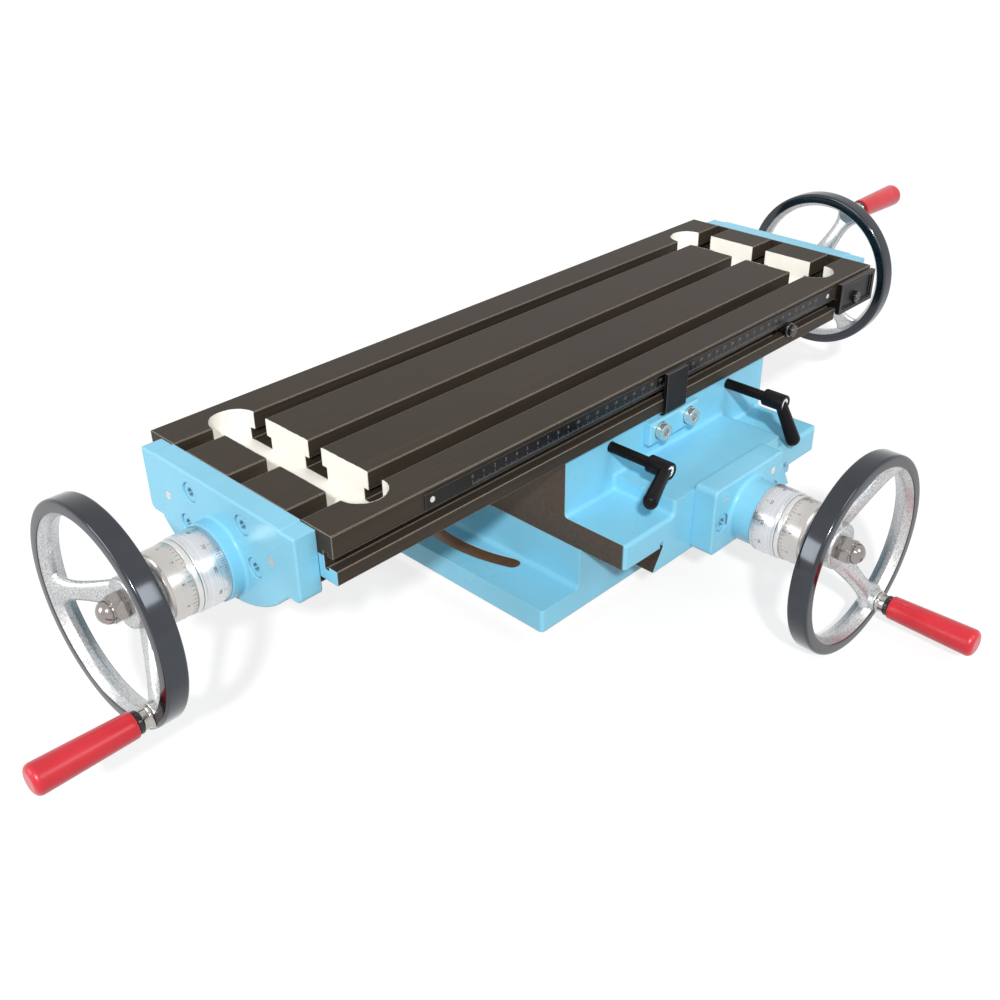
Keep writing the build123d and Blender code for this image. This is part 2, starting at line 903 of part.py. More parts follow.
def make_rim(height):
    """The rim: rounded outside, its inner wall bevelled from both faces towards the middle."""
    inner = rim_radius - rim_depth
    section = make_face(Polyline(
        (inner + rim_bevel, 0, height),
        (rim_radius, 0, height),
        (rim_radius, 0, height + rim_width),
        (inner + rim_bevel, 0, height + rim_width),
        (inner, 0, height + rim_width * 0.65),
        (inner, 0, height + rim_width * 0.35),
        close=True))
    section = fillet(section.vertices().group_by(Axis.X)[-1], rim_round)
    return revolve(section, Axis.Z)


def make_spoke(at):
    """A spoke that rises from hub to rim, narrows and flares again, with a ridge along its back."""
    hub_level = at["hub"] + hub_length / 2
    rim_level = at["rim"] + rim_width / 2
    near = hub_radius - 4
    far = rim_radius - rim_depth + 1
    narrow = far - spoke_flare
    level = hub_level + (rim_level - hub_level) * (narrow - near) / (far - near)
    stations = (
        (near, hub_level, spoke_hub_width),
        (narrow, level, spoke_rim_width),
        (far, rim_level, spoke_rim_width + spoke_flare),
    )
    faces = [spoke_section(*station) for station in stations]
    return loft(faces[:2], ruled=True) + loft(faces[1:], ruled=True)


def spoke_section(reach, level, width):
    """The spoke's section at one distance from the axis: flat outside, a ridge inside."""
    thick = spoke_thickness / 2
    return make_face(Polyline(
        (reach, -width / 2, level + thick * 0.4),
        (reach, 0, level + thick),
        (reach, width / 2, level + thick * 0.4),
        (reach, width / 2, level - thick * 0.4),
        (reach, 0, level - thick),
        (reach, -width / 2, level - thick * 0.4),
        close=True))


def make_cap_nut(sleeve):
    """A domed hexagon nut."""
    start = shaft_end(sleeve)["nut"]
    nut = extrude(RegularPolygon(cap_flats / 2, 6, major_radius=False), cap_hex_height)
    dome = Pos(0, 0, cap_hex_height) * Sphere(cap_dome_radius)
    nut += dome & Pos(0, 0, cap_hex_height / 2) * extrude(Circle(cap_flats), 2 * cap_flats)
    nut -= extrude(Circle(stud_radius + fit_gap), cap_hex_height + 3)
    return Pos(0, 0, start) * nut


def make_spindle(sleeve):
    """The steel spindle that carries a grip, with its collar against the rim."""
    at = shaft_end(sleeve)
    face = at["rim"] + rim_width
    collar = turned([
        (0, face),
        (ferrule_radius, face),
        (ferrule_radius, face + ferrule_length - ferrule_edge),
        (ferrule_radius - ferrule_edge, face + ferrule_length),
        (0, face + ferrule_length),
    ])
    reach = rim_width + ferrule_length + grip_bore_length - 1
    pin = Pos(0, 0, at["rim"]) * extrude(Circle(spindle_radius), reach)
    return Pos(handle_circle, 0, 0) * (collar + pin)


def make_grip(sleeve):
    """The revolving grip: a slightly swelling cylinder with a rounded end and a blind bore."""
    start = shaft_end(sleeve)["rim"] + rim_width + ferrule_length + grip_gap
    end = start + grip_length
    middle = (grip_middle_radius, 0, start + grip_length / 2)
    side = ThreePointArc((grip_neck_radius, 0, start), middle, (grip_end_radius, 0, end))
    section = make_face([
        Line((0, 0, start), (grip_neck_radius, 0, start)),
        side,
        Line((grip_end_radius, 0, end), (0, 0, end)),
        Line((0, 0, end), (0, 0, start)),
    ])
    section = fillet(section.vertices().sort_by(Axis.Z)[-2:].sort_by(Axis.X)[-1], grip_end_round)
    grip = revolve(section, Axis.Z)
    grip -= Pos(0, 0, start) * extrude(Circle(spindle_radius + fit_gap), grip_bore_length)
    return Pos(handle_circle, 0, 0) * grip


# The three shaft ends: the boss face, the way out, the handle's direction and the sleeve's length

def handle_direction(first, second, angle):
    """A unit vector at an angle from the first direction towards the second."""
    return tuple(a * cos(radians(angle)) + b * sin(radians(angle)) for a, b in zip(first, second))


left_face = table_left - plate_thickness - boss_length
right_face = table_right + plate_thickness + boss_length
front_face = bracket_front - bracket_boss_length
left_end = Plane(origin=(left_face, 0, x_axis_height), z_dir=(-1, 0, 0),
                 x_dir=handle_direction((0, 1, 0), (0, 0, 1), left_handle_angle))
right_end = Plane(origin=(right_face, 0, x_axis_height), z_dir=(1, 0, 0),
                  x_dir=handle_direction((0, 1, 0), (0, 0, 1), right_handle_angle))
front_end = Plane(origin=(0, front_face, y_axis_height), z_dir=(0, -1, 0),
                  x_dir=handle_direction((1, 0, 0), (0, 0, 1), front_handle_angle))
x_bearing = plate_thickness + boss_length
y_bearing = bracket_thickness + bracket_boss_length


def make_x_lead_screw():
    """The table's lead screw from wheel to wheel, with a thrust collar inside each end plate."""
    start, end = table_left + play, table_right - play
    thread = rod((start, 0, x_axis_height), (1, 0, 0), screw_radius, end - start)
    thread += rod((start, 0, x_axis_height), (1, 0, 0), collar_radius, collar_length)
    thread += rod((end, 0, x_axis_height), (-1, 0, 0), collar_radius, collar_length)
    thread += left_end * screw_end(sleeve_length, x_bearing + play)
    return thread + right_end * screw_end(sleeve_length_right, x_bearing + play)


def make_y_lead_screw():
    """The saddle's lead screw, from the front wheel to the saddle's back."""
    start = saddle_front + play
    thread = rod((0, start, y_axis_height), (0, 1, 0), screw_radius, saddle_back - start - 1)
    thread += rod((0, start, y_axis_height), (0, 1, 0), collar_radius, collar_length)
    return thread + front_end * screw_end(sleeve_length, y_bearing + play)


# Clamp levers

def clamp_place(side):
    """Where a clamp stud leaves the saddle's wall."""
    return (side * clamp_x, -wall_half, table_top - clamp_drop)


def make_clamp_stud(side):
    """The threaded stud that presses on the saddle's gib."""
    x, y, z = clamp_place(side)
    inner = -x_half(z - clamp_stud_radius) - gib_side - 0.3
    outer = y - clamp_reach + clamp_hub_length / 2
    return rod((x, outer, z), (0, 1, 0), clamp_stud_radius, inner - outer)


def make_clamp_lever(side, angle):
    """The lever: a hub on the stud and a thickening arm that leans outwards."""
    x, y, z = clamp_place(side)
    outer = y - clamp_reach
    hub = rod((x, outer, z), (0, 1, 0), clamp_hub_radius, clamp_hub_length)
    hub = chamfer(hub.edges().group_by(Axis.Y)[0], 1)
    start = Vector(x, outer + arm_setback, z)
    along = Vector(cos(radians(angle)) * arm_length, -arm_outward, sin(radians(angle)) * arm_length)
    arm_plane = Plane(origin=start, z_dir=along)
    arm = arm_plane * loft([Circle(arm_root_radius), Pos(0, 0, along.length) * Circle(arm_tip_radius)])
    tip = Pos(start + along) * Sphere(arm_tip_radius)
    lever = hub + arm + tip
    lever -= rod((x, outer + clamp_screw_sunk, z), (0, -1, 0), clamp_screw_head + head_gap / 2, arm_length)
    lever -= rod((x, outer, z), (0, 1, 0), bolt_radius + thread_gap, clamp_hub_length)
    stud_room = clamp_hub_length / 2
    return lever - rod((x, outer + stud_room, z), (0, 1, 0), clamp_stud_radius + fit_gap, stud_room)


def make_clamp_screw(side):
    """The screw that keeps a lever on its stud."""
    x, y, z = clamp_place(side)
    outer = y - clamp_reach
    seat = outer + clamp_screw_sunk
    shank = rod((x, seat, z), (0, 1, 0), bolt_radius, clamp_hub_length / 2 - clamp_screw_sunk - 0.2)
    head = rod((x, seat, z), (0, -1, 0), clamp_screw_head, clamp_screw_height)
    socket = rod((x, seat - clamp_screw_height, z), (0, 1, 0), bolt_radius * 0.6, 1.2)
    return head + shank - socket


# Fixed stop on the saddle

def stop_screw_place(side):
    """The seat under the head of a screw that holds the stop's foot."""
    middle = (foot_top + foot_bottom) / 2
    return (stop_x + side * foot_screw_pitch / 2, foot_front + foot_screw_sunk, middle)


def foot_screw_grip():
    """The screws end short of the room for the saddle's gib."""
    seat = stop_screw_place(1)
    gib_room = x_half(seat[2] - m8[0]) + gib_side
    return -seat[1] - gib_room - foot_screw_clear


def make_stop_foot():
    """The block on the saddle's wall; the blade's lower end is clamped in a groove behind it."""
    half = foot_length / 2
    foot = box(stop_x - half, stop_x + half, foot_front, -wall_half, foot_bottom, foot_top)
    foot = chamfer(foot.edges().group_by(Axis.Y)[0], plate_edge)
    left, right = blade_sides()
    foot -= box(left - way_gap, right + way_gap, -wall_half - blade_thickness, -wall_half,
                foot_bottom + blade_seat, foot_top)
    for side in (-1, 1):
        foot -= screw_hole(m8, stop_screw_place(side), (0, 1, 0), sunk=True)
    return foot


def make_foot_screws():
    """The two large bright screws of the foot."""
    return [socket_screw(m8, stop_screw_place(side), (0, 1, 0), foot_screw_grip()) for side in (-1, 1)]


def blade_sides():
    """The blade's left and right edge."""
    return (stop_x - blade_width / 2, stop_x + blade_width / 2)


def make_stop_blade():
    """The upright blade in front of the scale, stepped back below the table to the wall."""
    left, right = blade_sides()
    low, high = foot_bottom + blade_seat, table_top - blade_drop
    outline = [
        (-wall_half, low),
        (-wall_half, foot_top),
        (blade_back, table_bottom),
        (blade_back, high),
        (blade_back - blade_thickness, high),
        (blade_back - blade_thickness, table_bottom),
        (-wall_half - blade_thickness, foot_top),
        (-wall_half - blade_thickness, low),
    ]
    return along_x(outline, left, right)


# Stops that slide on the table

def make_stop_bolt(x, seat):
    """A T-bolt in the stops' slot; its nut sits outside the stop at the seat."""
    outer = seat - stop_nut_height - stop_bolt_end
    back = -table_half + stop_slot_depth - head_gap
    neck = -table_half + stop_lip + head_gap / 2
    half_height = stop_head / 2 - head_gap
    head = box(x - stop_bolt_half, x + stop_bolt_half, neck, back,
               stop_slot_height - half_height, stop_slot_height + half_height)
    return head + rod((x, outer, stop_slot_height), (0, 1, 0), bolt_radius, neck - outer)


def make_stop_nut(x, face):
    """The hexagon nut on a stop's T-bolt."""
    lying = Plane(origin=(x, face, stop_slot_height), z_dir=(0, -1, 0))
    outline = RegularPolygon(stop_nut_flats / 2, 6, major_radius=False) - Circle(bolt_radius + thread_gap)
    return lying * extrude(outline, stop_nut_height)


def stop_bore(x, front):
    """The hole for a stop's T-bolt, from the stop's front to the slot."""
    reach = -table_half + stop_lip - front
    return rod((x, front, stop_slot_height), (0, 1, 0), bolt_radius + thread_gap, reach)


def make_limit_block():
    """The stop plate at the far end: a rim round a recess for its nut, and a tongue in the slot."""
    high = table_top - block_top_drop
    low = high - block_height
    x0, x1 = block_x - block_length / 2, block_x + block_length / 2
    block = box(x0, x1, block_front, block_back, low, high)
    recess = box(x0 + block_rim, x1 - block_rim, block_front, block_front + block_recess,
                 low + block_rim, high - block_rim)
    tongue = stop_throat / 2 - way_gap
    block += box(x0, x1, block_back, -table_half + stop_lip - 1,
                 stop_slot_height - tongue, stop_slot_height + tongue)
    return block - recess - stop_bore(block_x, block_front)


def make_dog():
    """The small round stop: a turned bush clamped in the slot."""
    reach = -table_half + stop_lip - 1 - dog_front
    dog = rod((dog_x, dog_front, stop_slot_height), (0, 1, 0), dog_radius, dog_thickness)
    dog = chamfer(dog.edges().group_by(Axis.Y)[0], plate_edge / 2)
    dog += rod((dog_x, dog_front, stop_slot_height), (0, 1, 0), stop_throat / 2 - way_gap, reach)
    return dog - stop_bore(dog_x, dog_front)


# Write every piece to its own file

def save(name, shape):
    """Write one named piece, or one group of equal pieces, as a STEP file."""
    solids = list(shape) if isinstance(shape, (list, tuple)) else list(shape.solids())
    whole = solids[0] if len(solids) == 1 else Compound(solids)
    whole.label = name
    export_step(whole, f"parts/{name}.step")


os.makedirs("parts", exist_ok=True)

save("base", make_base())
save("y_gib", make_y_gib())
save("y_gib_screws", make_gib_screws(y_gib_screw_places()))
save("y_feed_nut", make_y_feed_nut())
save("y_feed_nut_screws", make_nut_screws(nut_screw_y, nut_screw_x, y_floor))

save("saddle", make_saddle())
save("x_gib", make_x_gib())
save("x_gib_screws", make_gib_screws(x_gib_screw_places()))
save("x_feed_nut", make_x_feed_nut())
save("x_feed_nut_screws", make_nut_screws(nut_screw_x, nut_screw_y, x_floor))
save("front_bracket", make_bracket())
save("front_bracket_screws", make_bracket_screws())
save("front_bracket_dowels", make_bracket_dowels())
save("front_bush", front_end * make_bush(y_bearing))
save("stop_foot", make_stop_foot())
save("stop_foot_screws", make_foot_screws())
save("stop_blade", make_stop_blade())

save("table", make_table())
save("end_plate_left", make_end_plate(table_left, -1))
save("end_plate_right", make_end_plate(table_right, 1))
save("end_plate_screws", make_plate_screws())
save("end_plate_dowels", make_plate_dowels())
save("end_bushes", [left_end * make_bush(x_bearing), right_end * make_bush(x_bearing)])
save("scale", make_scale())
save("scale_screws", make_scale_screws())

save("limit_block", make_limit_block())
save("limit_block_bolt", make_stop_bolt(block_x, block_front + block_recess))
save("limit_block_nut", make_stop_nut(block_x, block_front + block_recess))
save("stop_dog", make_dog())
save("stop_dog_bolt", make_stop_bolt(dog_x, dog_front))
save("stop_dog_nut", make_stop_nut(dog_x, dog_front))

save("x_lead_screw", make_x_lead_screw())
save("y_lead_screw", make_y_lead_screw())

ends = (
    ("left", left_end, sleeve_length),
    ("right", right_end, sleeve_length_right),
    ("front", front_end, sleeve_length),
)
for name, end, sleeve in ends:
    save(f"dial_{name}", end * make_dial())
    save(f"sleeve_{name}", end * make_sleeve(sleeve))
    save(f"handwheel_{name}", end * make_wheel(sleeve))
    save(f"grip_{name}", end * make_grip(sleeve))

x_ends = ((left_end, sleeve_length), (right_end, sleeve_length_right))
y_ends = ((front_end, sleeve_length),)
for name, axis_ends in (("x", x_ends), ("y", y_ends)):
    save(f"{name}_dial_rings", [end * make_ring() for end, sleeve in axis_ends])
    save(f"{name}_wheel_keys", [end * make_key(sleeve) for end, sleeve in axis_ends])
    save(f"{name}_cap_nuts", [end * make_cap_nut(sleeve) for end, sleeve in axis_ends])
    save(f"{name}_handle_spindles", [end * make_spindle(sleeve) for end, sleeve in axis_ends])

for name, side, angle in (("left", -1, left_arm_angle), ("right", 1, right_arm_angle)):
    save(f"clamp_stud_{name}", make_clamp_stud(side))
    save(f"clamp_lever_{name}", make_clamp_lever(side, angle))
    save(f"clamp_screw_{name}", make_clamp_screw(side))
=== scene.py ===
import math
import bmesh
import bpy
import numpy as np
from mathutils import Matrix, Vector


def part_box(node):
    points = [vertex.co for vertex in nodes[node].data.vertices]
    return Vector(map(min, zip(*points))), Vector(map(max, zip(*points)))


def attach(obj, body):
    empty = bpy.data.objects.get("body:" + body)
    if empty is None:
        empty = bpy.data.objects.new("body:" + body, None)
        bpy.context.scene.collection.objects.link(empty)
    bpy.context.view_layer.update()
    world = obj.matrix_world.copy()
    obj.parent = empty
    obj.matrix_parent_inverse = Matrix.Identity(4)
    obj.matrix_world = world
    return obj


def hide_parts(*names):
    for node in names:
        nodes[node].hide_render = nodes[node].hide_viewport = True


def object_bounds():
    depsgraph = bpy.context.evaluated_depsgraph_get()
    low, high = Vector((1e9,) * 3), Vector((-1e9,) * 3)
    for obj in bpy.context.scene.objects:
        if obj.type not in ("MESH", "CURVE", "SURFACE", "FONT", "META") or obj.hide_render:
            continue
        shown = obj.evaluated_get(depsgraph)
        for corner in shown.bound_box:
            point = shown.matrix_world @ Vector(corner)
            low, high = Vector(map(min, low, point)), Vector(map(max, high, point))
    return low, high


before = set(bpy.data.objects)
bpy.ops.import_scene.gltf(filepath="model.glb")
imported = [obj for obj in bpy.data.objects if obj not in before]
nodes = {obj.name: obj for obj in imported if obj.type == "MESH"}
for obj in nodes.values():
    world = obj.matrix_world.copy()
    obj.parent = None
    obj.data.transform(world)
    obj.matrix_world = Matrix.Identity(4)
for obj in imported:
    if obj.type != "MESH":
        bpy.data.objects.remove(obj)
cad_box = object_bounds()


# Painted castings
# The base is an iron casting sprayed with a glossy sky blue enamel, like all the castings of
# this table. Its dovetail slot, its bolt slots and its underside are cut afterwards and stay bare.

def new_group(name, inputs, outputs):
    """A shader node group with named sockets: inputs maps a name to (kind, default)."""
    group = bpy.data.node_groups.new(name, "ShaderNodeTree")
    for label, (kind, default) in inputs.items():
        socket = group.interface.new_socket(label, in_out="INPUT", socket_type="NodeSocket" + kind)
        if default is not None:
            socket.default_value = default
    for label, kind in outputs.items():
        group.interface.new_socket(label, in_out="OUTPUT", socket_type="NodeSocket" + kind)
    return group, group.nodes.new("NodeGroupInput").outputs, group.nodes.new("NodeGroupOutput").inputs


def put(tree, kind, settings=None, **links):
    """Add a node. Settings are its properties; links are socket names or numbers with values or sockets."""
    node = tree.nodes.new("ShaderNode" + kind)
    for key, value in (settings or {}).items():
        setattr(node, key, value)
    for key, value in links.items():
        numbered = key[0] == "i" and key[1:].isdigit()
        socket = node.inputs[int(key[1:]) if numbered else key.replace("_", " ")]
        if isinstance(value, bpy.types.NodeSocket):
            tree.links.new(value, socket)
        else:
            socket.default_value = value
    return node


def maths(tree, operation, a, b=0.0, c=0.0, clamp=False):
    """One step of arithmetic on values or sockets."""
    return put(tree, "Math", {"operation": operation, "use_clamp": clamp}, i0=a, i1=b, i2=c).outputs[0]


def blend(tree, factor, a, b):
    """The colour a where factor is 0 and b where it is 1."""
    return put(tree, "Mix", {"data_type": "RGBA"}, i0=factor, i6=a, i7=b).outputs[2]


def rgb(r, g, b):
    """A colour as read on a screen, 0 to 255, as linear light."""
    return tuple(((v / 255 + 0.055) / 1.055) ** 2.4 for v in (r, g, b)) + (1.0,)


def ramp(tree, value, start, stop):
    """0 at start, 1 at stop and straight between them, for a value or socket."""
    return put(tree, "MapRange", None, Value=value, From_Min=start, From_Max=stop).outputs[0]


def span(tree, value, low, high, soft=0.0002):
    """1 where value lies between low and high, else 0, with a soft step at both ends."""
    up, down = (ramp(tree, value, level - soft, level + soft) for level in (low, high))
    return maths(tree, "SUBTRACT", up, down, clamp=True)


def both(tree, first, *others):
    """The product of some masks."""
    for mask in others:
        first = maths(tree, "MULTIPLY", first, mask)
    return first


def either(tree, first, *others):
    """The largest of some masks."""
    for mask in others:
        first = maths(tree, "MAXIMUM", first, mask)
    return first


def away(tree, a, b, from_a=0.0, from_b=0.0):
    """The distance of the point (a, b) from another one: the root of the sum of both squares."""
    da, db = maths(tree, "SUBTRACT", a, from_a), maths(tree, "SUBTRACT", b, from_b)
    return maths(tree, "SQRT", maths(tree, "MULTIPLY_ADD", da, da, maths(tree, "MULTIPLY", db, db)))


def fresh_material(name):
    """An empty material, with its tree, its shader and the x, y, z of the object's own coordinates."""
    material = bpy.data.materials.new(name)
    material.use_nodes = True
    tree = material.node_tree
    tree.nodes.clear()
    shader = put(tree, "BsdfPrincipled")
    output = put(tree, "OutputMaterial")
    tree.links.new(shader.outputs[0], output.inputs[0])
    place = put(tree, "TexCoord").outputs["Object"]
    split = put(tree, "SeparateXYZ", None, Vector=place)
    return material, tree, shader, place, split.outputs


def give(group, out, **values):
    """Lead values to a group's outputs."""
    for name, value in values.items():
        group.links.new(value, out[name])


def feed(tree, shader, colour, rough, normal):
    """Lead a colour, a roughness and a normal to the shader."""
    for name, value in (("Base Color", colour), ("Roughness", rough), ("Normal", normal)):
        tree.links.new(value, shader.inputs[name])


# This group finds convex and concave edges by comparing the true normal with one bent round the edge; the
# materials lighten what it finds, partly as edge wear and partly as a painted highlight.
edge_inputs = {"Width": ("Float", 0.0008)}
group, into, out = new_group("edge_wear_and_highlight", edge_inputs, {"Mask": "Float", "Normal": "Vector"})
round_normal = put(group, "Bevel", {"samples": 4}, Radius=into["Width"]).outputs[0]
flat_normal = put(group, "NewGeometry").outputs["Normal"]
same = put(group, "VectorMath", {"operation": "DOT_PRODUCT"}, i0=round_normal, i1=flat_normal).outputs
give(group, out, Mask=ramp(group, same["Value"], 0.995, 0.86), Normal=round_normal)
edge_wear_and_highlight = group

# enamel gives thick glossy paint on a casting: sand grain below it, slow waves, and a painted highlight, a
# paler blue at edges and inner corners.
sky_blue, highlight_blue = rgb(138, 211, 238), rgb(190, 229, 242)
group, into, out = new_group(
    "enamel",
    {"Place": ("Vector", None), "Colour": ("Color", sky_blue), "Edge Colour": ("Color", highlight_blue),
     "Gloss": ("Float", 0.2)},
    {"Colour": "Color", "Roughness": "Float", "Normal": "Vector"})
edge = put(group, "Group", {"node_tree": edge_wear_and_highlight}, Width=0.0011)
grain = put(group, "TexNoise", None, Vector=into["Place"], Scale=420.0, Detail=2.0).outputs[0]
wave = put(group, "TexNoise", None, Vector=into["Place"], Scale=55.0, Detail=2.0).outputs[0]
cloud = put(group, "TexNoise", None, Vector=into["Place"], Scale=14.0, Detail=3.0).outputs[0]
height = maths(group, "MULTIPLY_ADD", grain, 0.3, wave)
bump = put(group, "Bump", None, Strength=0.26, Distance=0.0006, Height=height, Normal=edge.outputs["Normal"])
tone = put(group, "MapRange", None, Value=cloud, From_Min=0.3, From_Max=0.7, To_Min=0.93, To_Max=1.06)
tone = tone.outputs[0]
colour = put(group, "VectorMath", {"operation": "SCALE"}, i0=into["Colour"], Scale=tone).outputs[0]
lit = blend(group, maths(group, "MULTIPLY", edge.outputs["Mask"], 0.6), colour, into["Edge Colour"])
rough = maths(group, "MULTIPLY_ADD", cloud, 0.12, into["Gloss"])
give(group, out, Colour=lit, Roughness=rough, Normal=bump.outputs[0])
enamel = group

# milled gives cut metal with long fine tool marks along one direction, a darker bloom of oil, and a lighter
# tone at edges and inner corners that is partly wear and partly a painted highlight.
iron_light, iron_dark, iron_edge_wear_and_highlight = rgb(94, 81, 70), rgb(72, 62, 54), rgb(190, 180, 170)
marks_along_x, marks_along_y = (4.0, 400.0, 400.0), (400.0, 4.0, 400.0)
group, into, out = new_group(
    "milled",
    {"Place": ("Vector", None), "Stretch": ("Vector", marks_along_x), "Colour": ("Color", iron_light),
     "Dark Colour": ("Color", iron_dark), "Edge Colour": ("Color", iron_edge_wear_and_highlight), "Gloss": ("Float", 0.35),
     "Depth": ("Float", 0.25), "Edge Width": ("Float", 0.0006)},
    {"Colour": "Color", "Roughness": "Float", "Normal": "Vector"})
edge = put(group, "Group", {"node_tree": edge_wear_and_highlight}, Width=into["Edge Width"])
lines = put(group, "VectorMath", {"operation": "MULTIPLY"}, i0=into["Place"], i1=into["Stretch"]).outputs[0]
marks = put(group, "TexNoise", None, Vector=lines, Scale=1.0, Detail=3.0).outputs[0]
bloom = put(group, "TexNoise", None, Vector=into["Place"], Scale=9.0, Detail=4.0).outputs[0]
mix = maths(group, "MULTIPLY_ADD", marks, 0.6, maths(group, "MULTIPLY", bloom, 0.4))
streak = ramp(group, mix, 0.26, 0.74)
colour = blend(group, streak, into["Dark Colour"], into["Colour"])
lit = blend(group, maths(group, "MULTIPLY", edge.outputs["Mask"], 0.6), colour, into["Edge Colour"])
rough = maths(group, "MULTIPLY_ADD", streak, 0.12, into["Gloss"])
bump = put(group, "Bump", None, Strength=into["Depth"], Distance=0.0002, Height=marks,
           Normal=edge.outputs["Normal"])
give(group, out, Colour=lit, Roughness=rough, Normal=bump.outputs[0])
milled = group


def casting_material(name, bare, stretch=marks_along_x, light=iron_light, dark=iron_dark):
    """Blue enamel, with milled iron where bare(tree, xyz) gives 1."""
    material, tree, shader, place, xyz = fresh_material(name)
    paint = put(tree, "Group", {"node_tree": enamel}, Place=place).outputs
    iron = put(tree, "Group", {"node_tree": milled}, Place=place, Stretch=stretch, Colour=light,
               Dark_Colour=dark).outputs
    mask = bare(tree, xyz)
    colour = blend(tree, mask, paint["Colour"], iron["Colour"])
    rough = put(tree, "Mix", None, i0=mask, i2=paint["Roughness"], i3=iron["Roughness"]).outputs[0]
    normal = put(tree, "Mix", {"data_type": "VECTOR"}, i0=mask, i4=paint["Normal"], i5=iron["Normal"])
    feed(tree, shader, colour, rough, normal.outputs[1])
    tree.links.new(maths(tree, "MULTIPLY", mask, 0.6), shader.inputs["Metallic"])
    shader.inputs["Specular IOR Level"].default_value = 0.35
    return material


def dress(material, *names):
    """Give CAD nodes one material."""
    for name in names:
        nodes[name].data.materials.clear()
        nodes[name].data.materials.append(material)


base_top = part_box("base")[1].z
skim, clear = 0.0004, 0.01
dovetail_half, dovetail_floor = 0.1, 0.0325
bolt_circle, bolt_slot_half, bolt_slot_reach, wing_top = 0.139, 0.0063, 0.07, 0.0177


def bare_base(tree, xyz):
    """The dovetail slot, the ways on top, the underside, and the walls of the curved bolt slots."""
    tail = both(tree, span(tree, xyz["X"], -dovetail_half, dovetail_half),
                span(tree, xyz["Z"], dovetail_floor, base_top + clear))
    way = span(tree, xyz["Z"], base_top - skim, base_top + clear)
    under = span(tree, xyz["Z"], -clear, skim / 2)
    from_middle = away(tree, xyz["X"], xyz["Y"])
    ring = span(tree, from_middle, bolt_circle - bolt_slot_half, bolt_circle + bolt_slot_half)
    slots = both(tree, ring, span(tree, xyz["Y"], -bolt_slot_reach, bolt_slot_reach),
                 span(tree, xyz["Z"], 0.0, wing_top))
    return either(tree, tail, way, under, slots)


oily_light, oily_dark = rgb(140, 108, 82), rgb(104, 82, 64)
dress(casting_material("base_casting", bare_base, marks_along_y, oily_light, oily_dark), "base")


# The saddle's casting
# Its two side faces are milled flush and left bare, as are the ways above and below; the wall,
# the ledge and the raised nose in front are painted.

saddle_side, tail_top, nose_front = 0.1198, 0.0523, -0.1497
ways_floor, ways_top, ways_half = 0.0999, 0.12, 0.0945


def bare_saddle(tree, xyz):
    """Side faces, the table's ways on top, and the dovetail below."""
    side = span(tree, maths(tree, "ABSOLUTE", xyz["X"]), saddle_side, 2 * saddle_side)
    ways = both(tree, span(tree, xyz["Z"], ways_floor, ways_top),
                span(tree, xyz["Y"], -ways_half, ways_half))
    tail = both(tree, span(tree, xyz["Z"], 0.0, tail_top), span(tree, xyz["Y"], nose_front, ways_half))
    return either(tree, side, ways, tail)


dress(casting_material("saddle_casting", bare_saddle), "saddle")


# Bracket, end plates and the stop's foot
# Smaller castings in the same enamel, bolted on. The cap screws of the plates and the bracket were
# sprayed over with them; inside each socket a painted shade, a dark blue-black, stands for the shadow in it.

table_low, table_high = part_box("table")
table_top = table_high.z
plate_reach, socket_radius = 0.1, 0.003


def bare_backs(tree, xyz):
    """The milled backs of the end plates, which show at the far ends of the table's slots."""
    left = span(tree, xyz["X"], table_low.x - skim, table_low.x + plate_reach)
    right = span(tree, xyz["X"], table_high.x - plate_reach, table_high.x + skim)
    return either(tree, left, right)


def bare_nowhere(tree, xyz):
    """Nothing bare: a stretch some metres away, which no casting reaches."""
    return span(tree, xyz["X"], 9.0, 10.0)


def painted_screws(name, across, places):
    """Enamel on screw heads, with painted shade, a dark blue-black, inside the sockets, which lie round each
    (across, height) place.
    """
    material, tree, shader, place, xyz = fresh_material(name)
    paint = put(tree, "Group", {"node_tree": enamel}, Place=place, Gloss=0.3).outputs
    wide = maths(tree, "ABSOLUTE", xyz[across])
    socket_shade = [span(tree, away(tree, wide, xyz["Z"], *spot), -1.0, socket_radius) for spot in places]
    colour = blend(tree, either(tree, *socket_shade), paint["Colour"], rgb(24, 34, 46))
    feed(tree, shader, colour, paint["Roughness"], paint["Normal"])
    return material


def middle(node):
    """The middle of a CAD node's box."""
    low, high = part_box(node)
    return (np.array(low) + np.array(high)) / 2


dress(casting_material("small_castings", bare_nowhere), "front_bracket", "stop_foot")
dress(casting_material("plate_castings", bare_backs, marks_along_y), "end_plate_left", "end_plate_right")
plate_spots = ((0.028, table_top - 0.014), (0.0365, table_top - 0.0405))
dress(painted_screws("plate_screw_paint", "Y", plate_spots), "end_plate_screws")
bracket_spot = (0.032, middle("front_bracket_screws")[2])
dress(painted_screws("bracket_screw_paint", "X", (bracket_spot,)), "front_bracket_screws")


# The table
# Ground cast iron, dark and lightly oiled, with bright edges at its slots and lighter inner corners: partly
# worn broken edges, partly a painted highlight. The two cross troughs are painted cream, and the end faces
# behind the end plates are blue.

trough_inset, trough_half, trough_radius, trough_depth = 0.046, 0.067, 0.0163, 0.0225
brim, splash, blue_top = 0.0007, 0.002, 0.0165

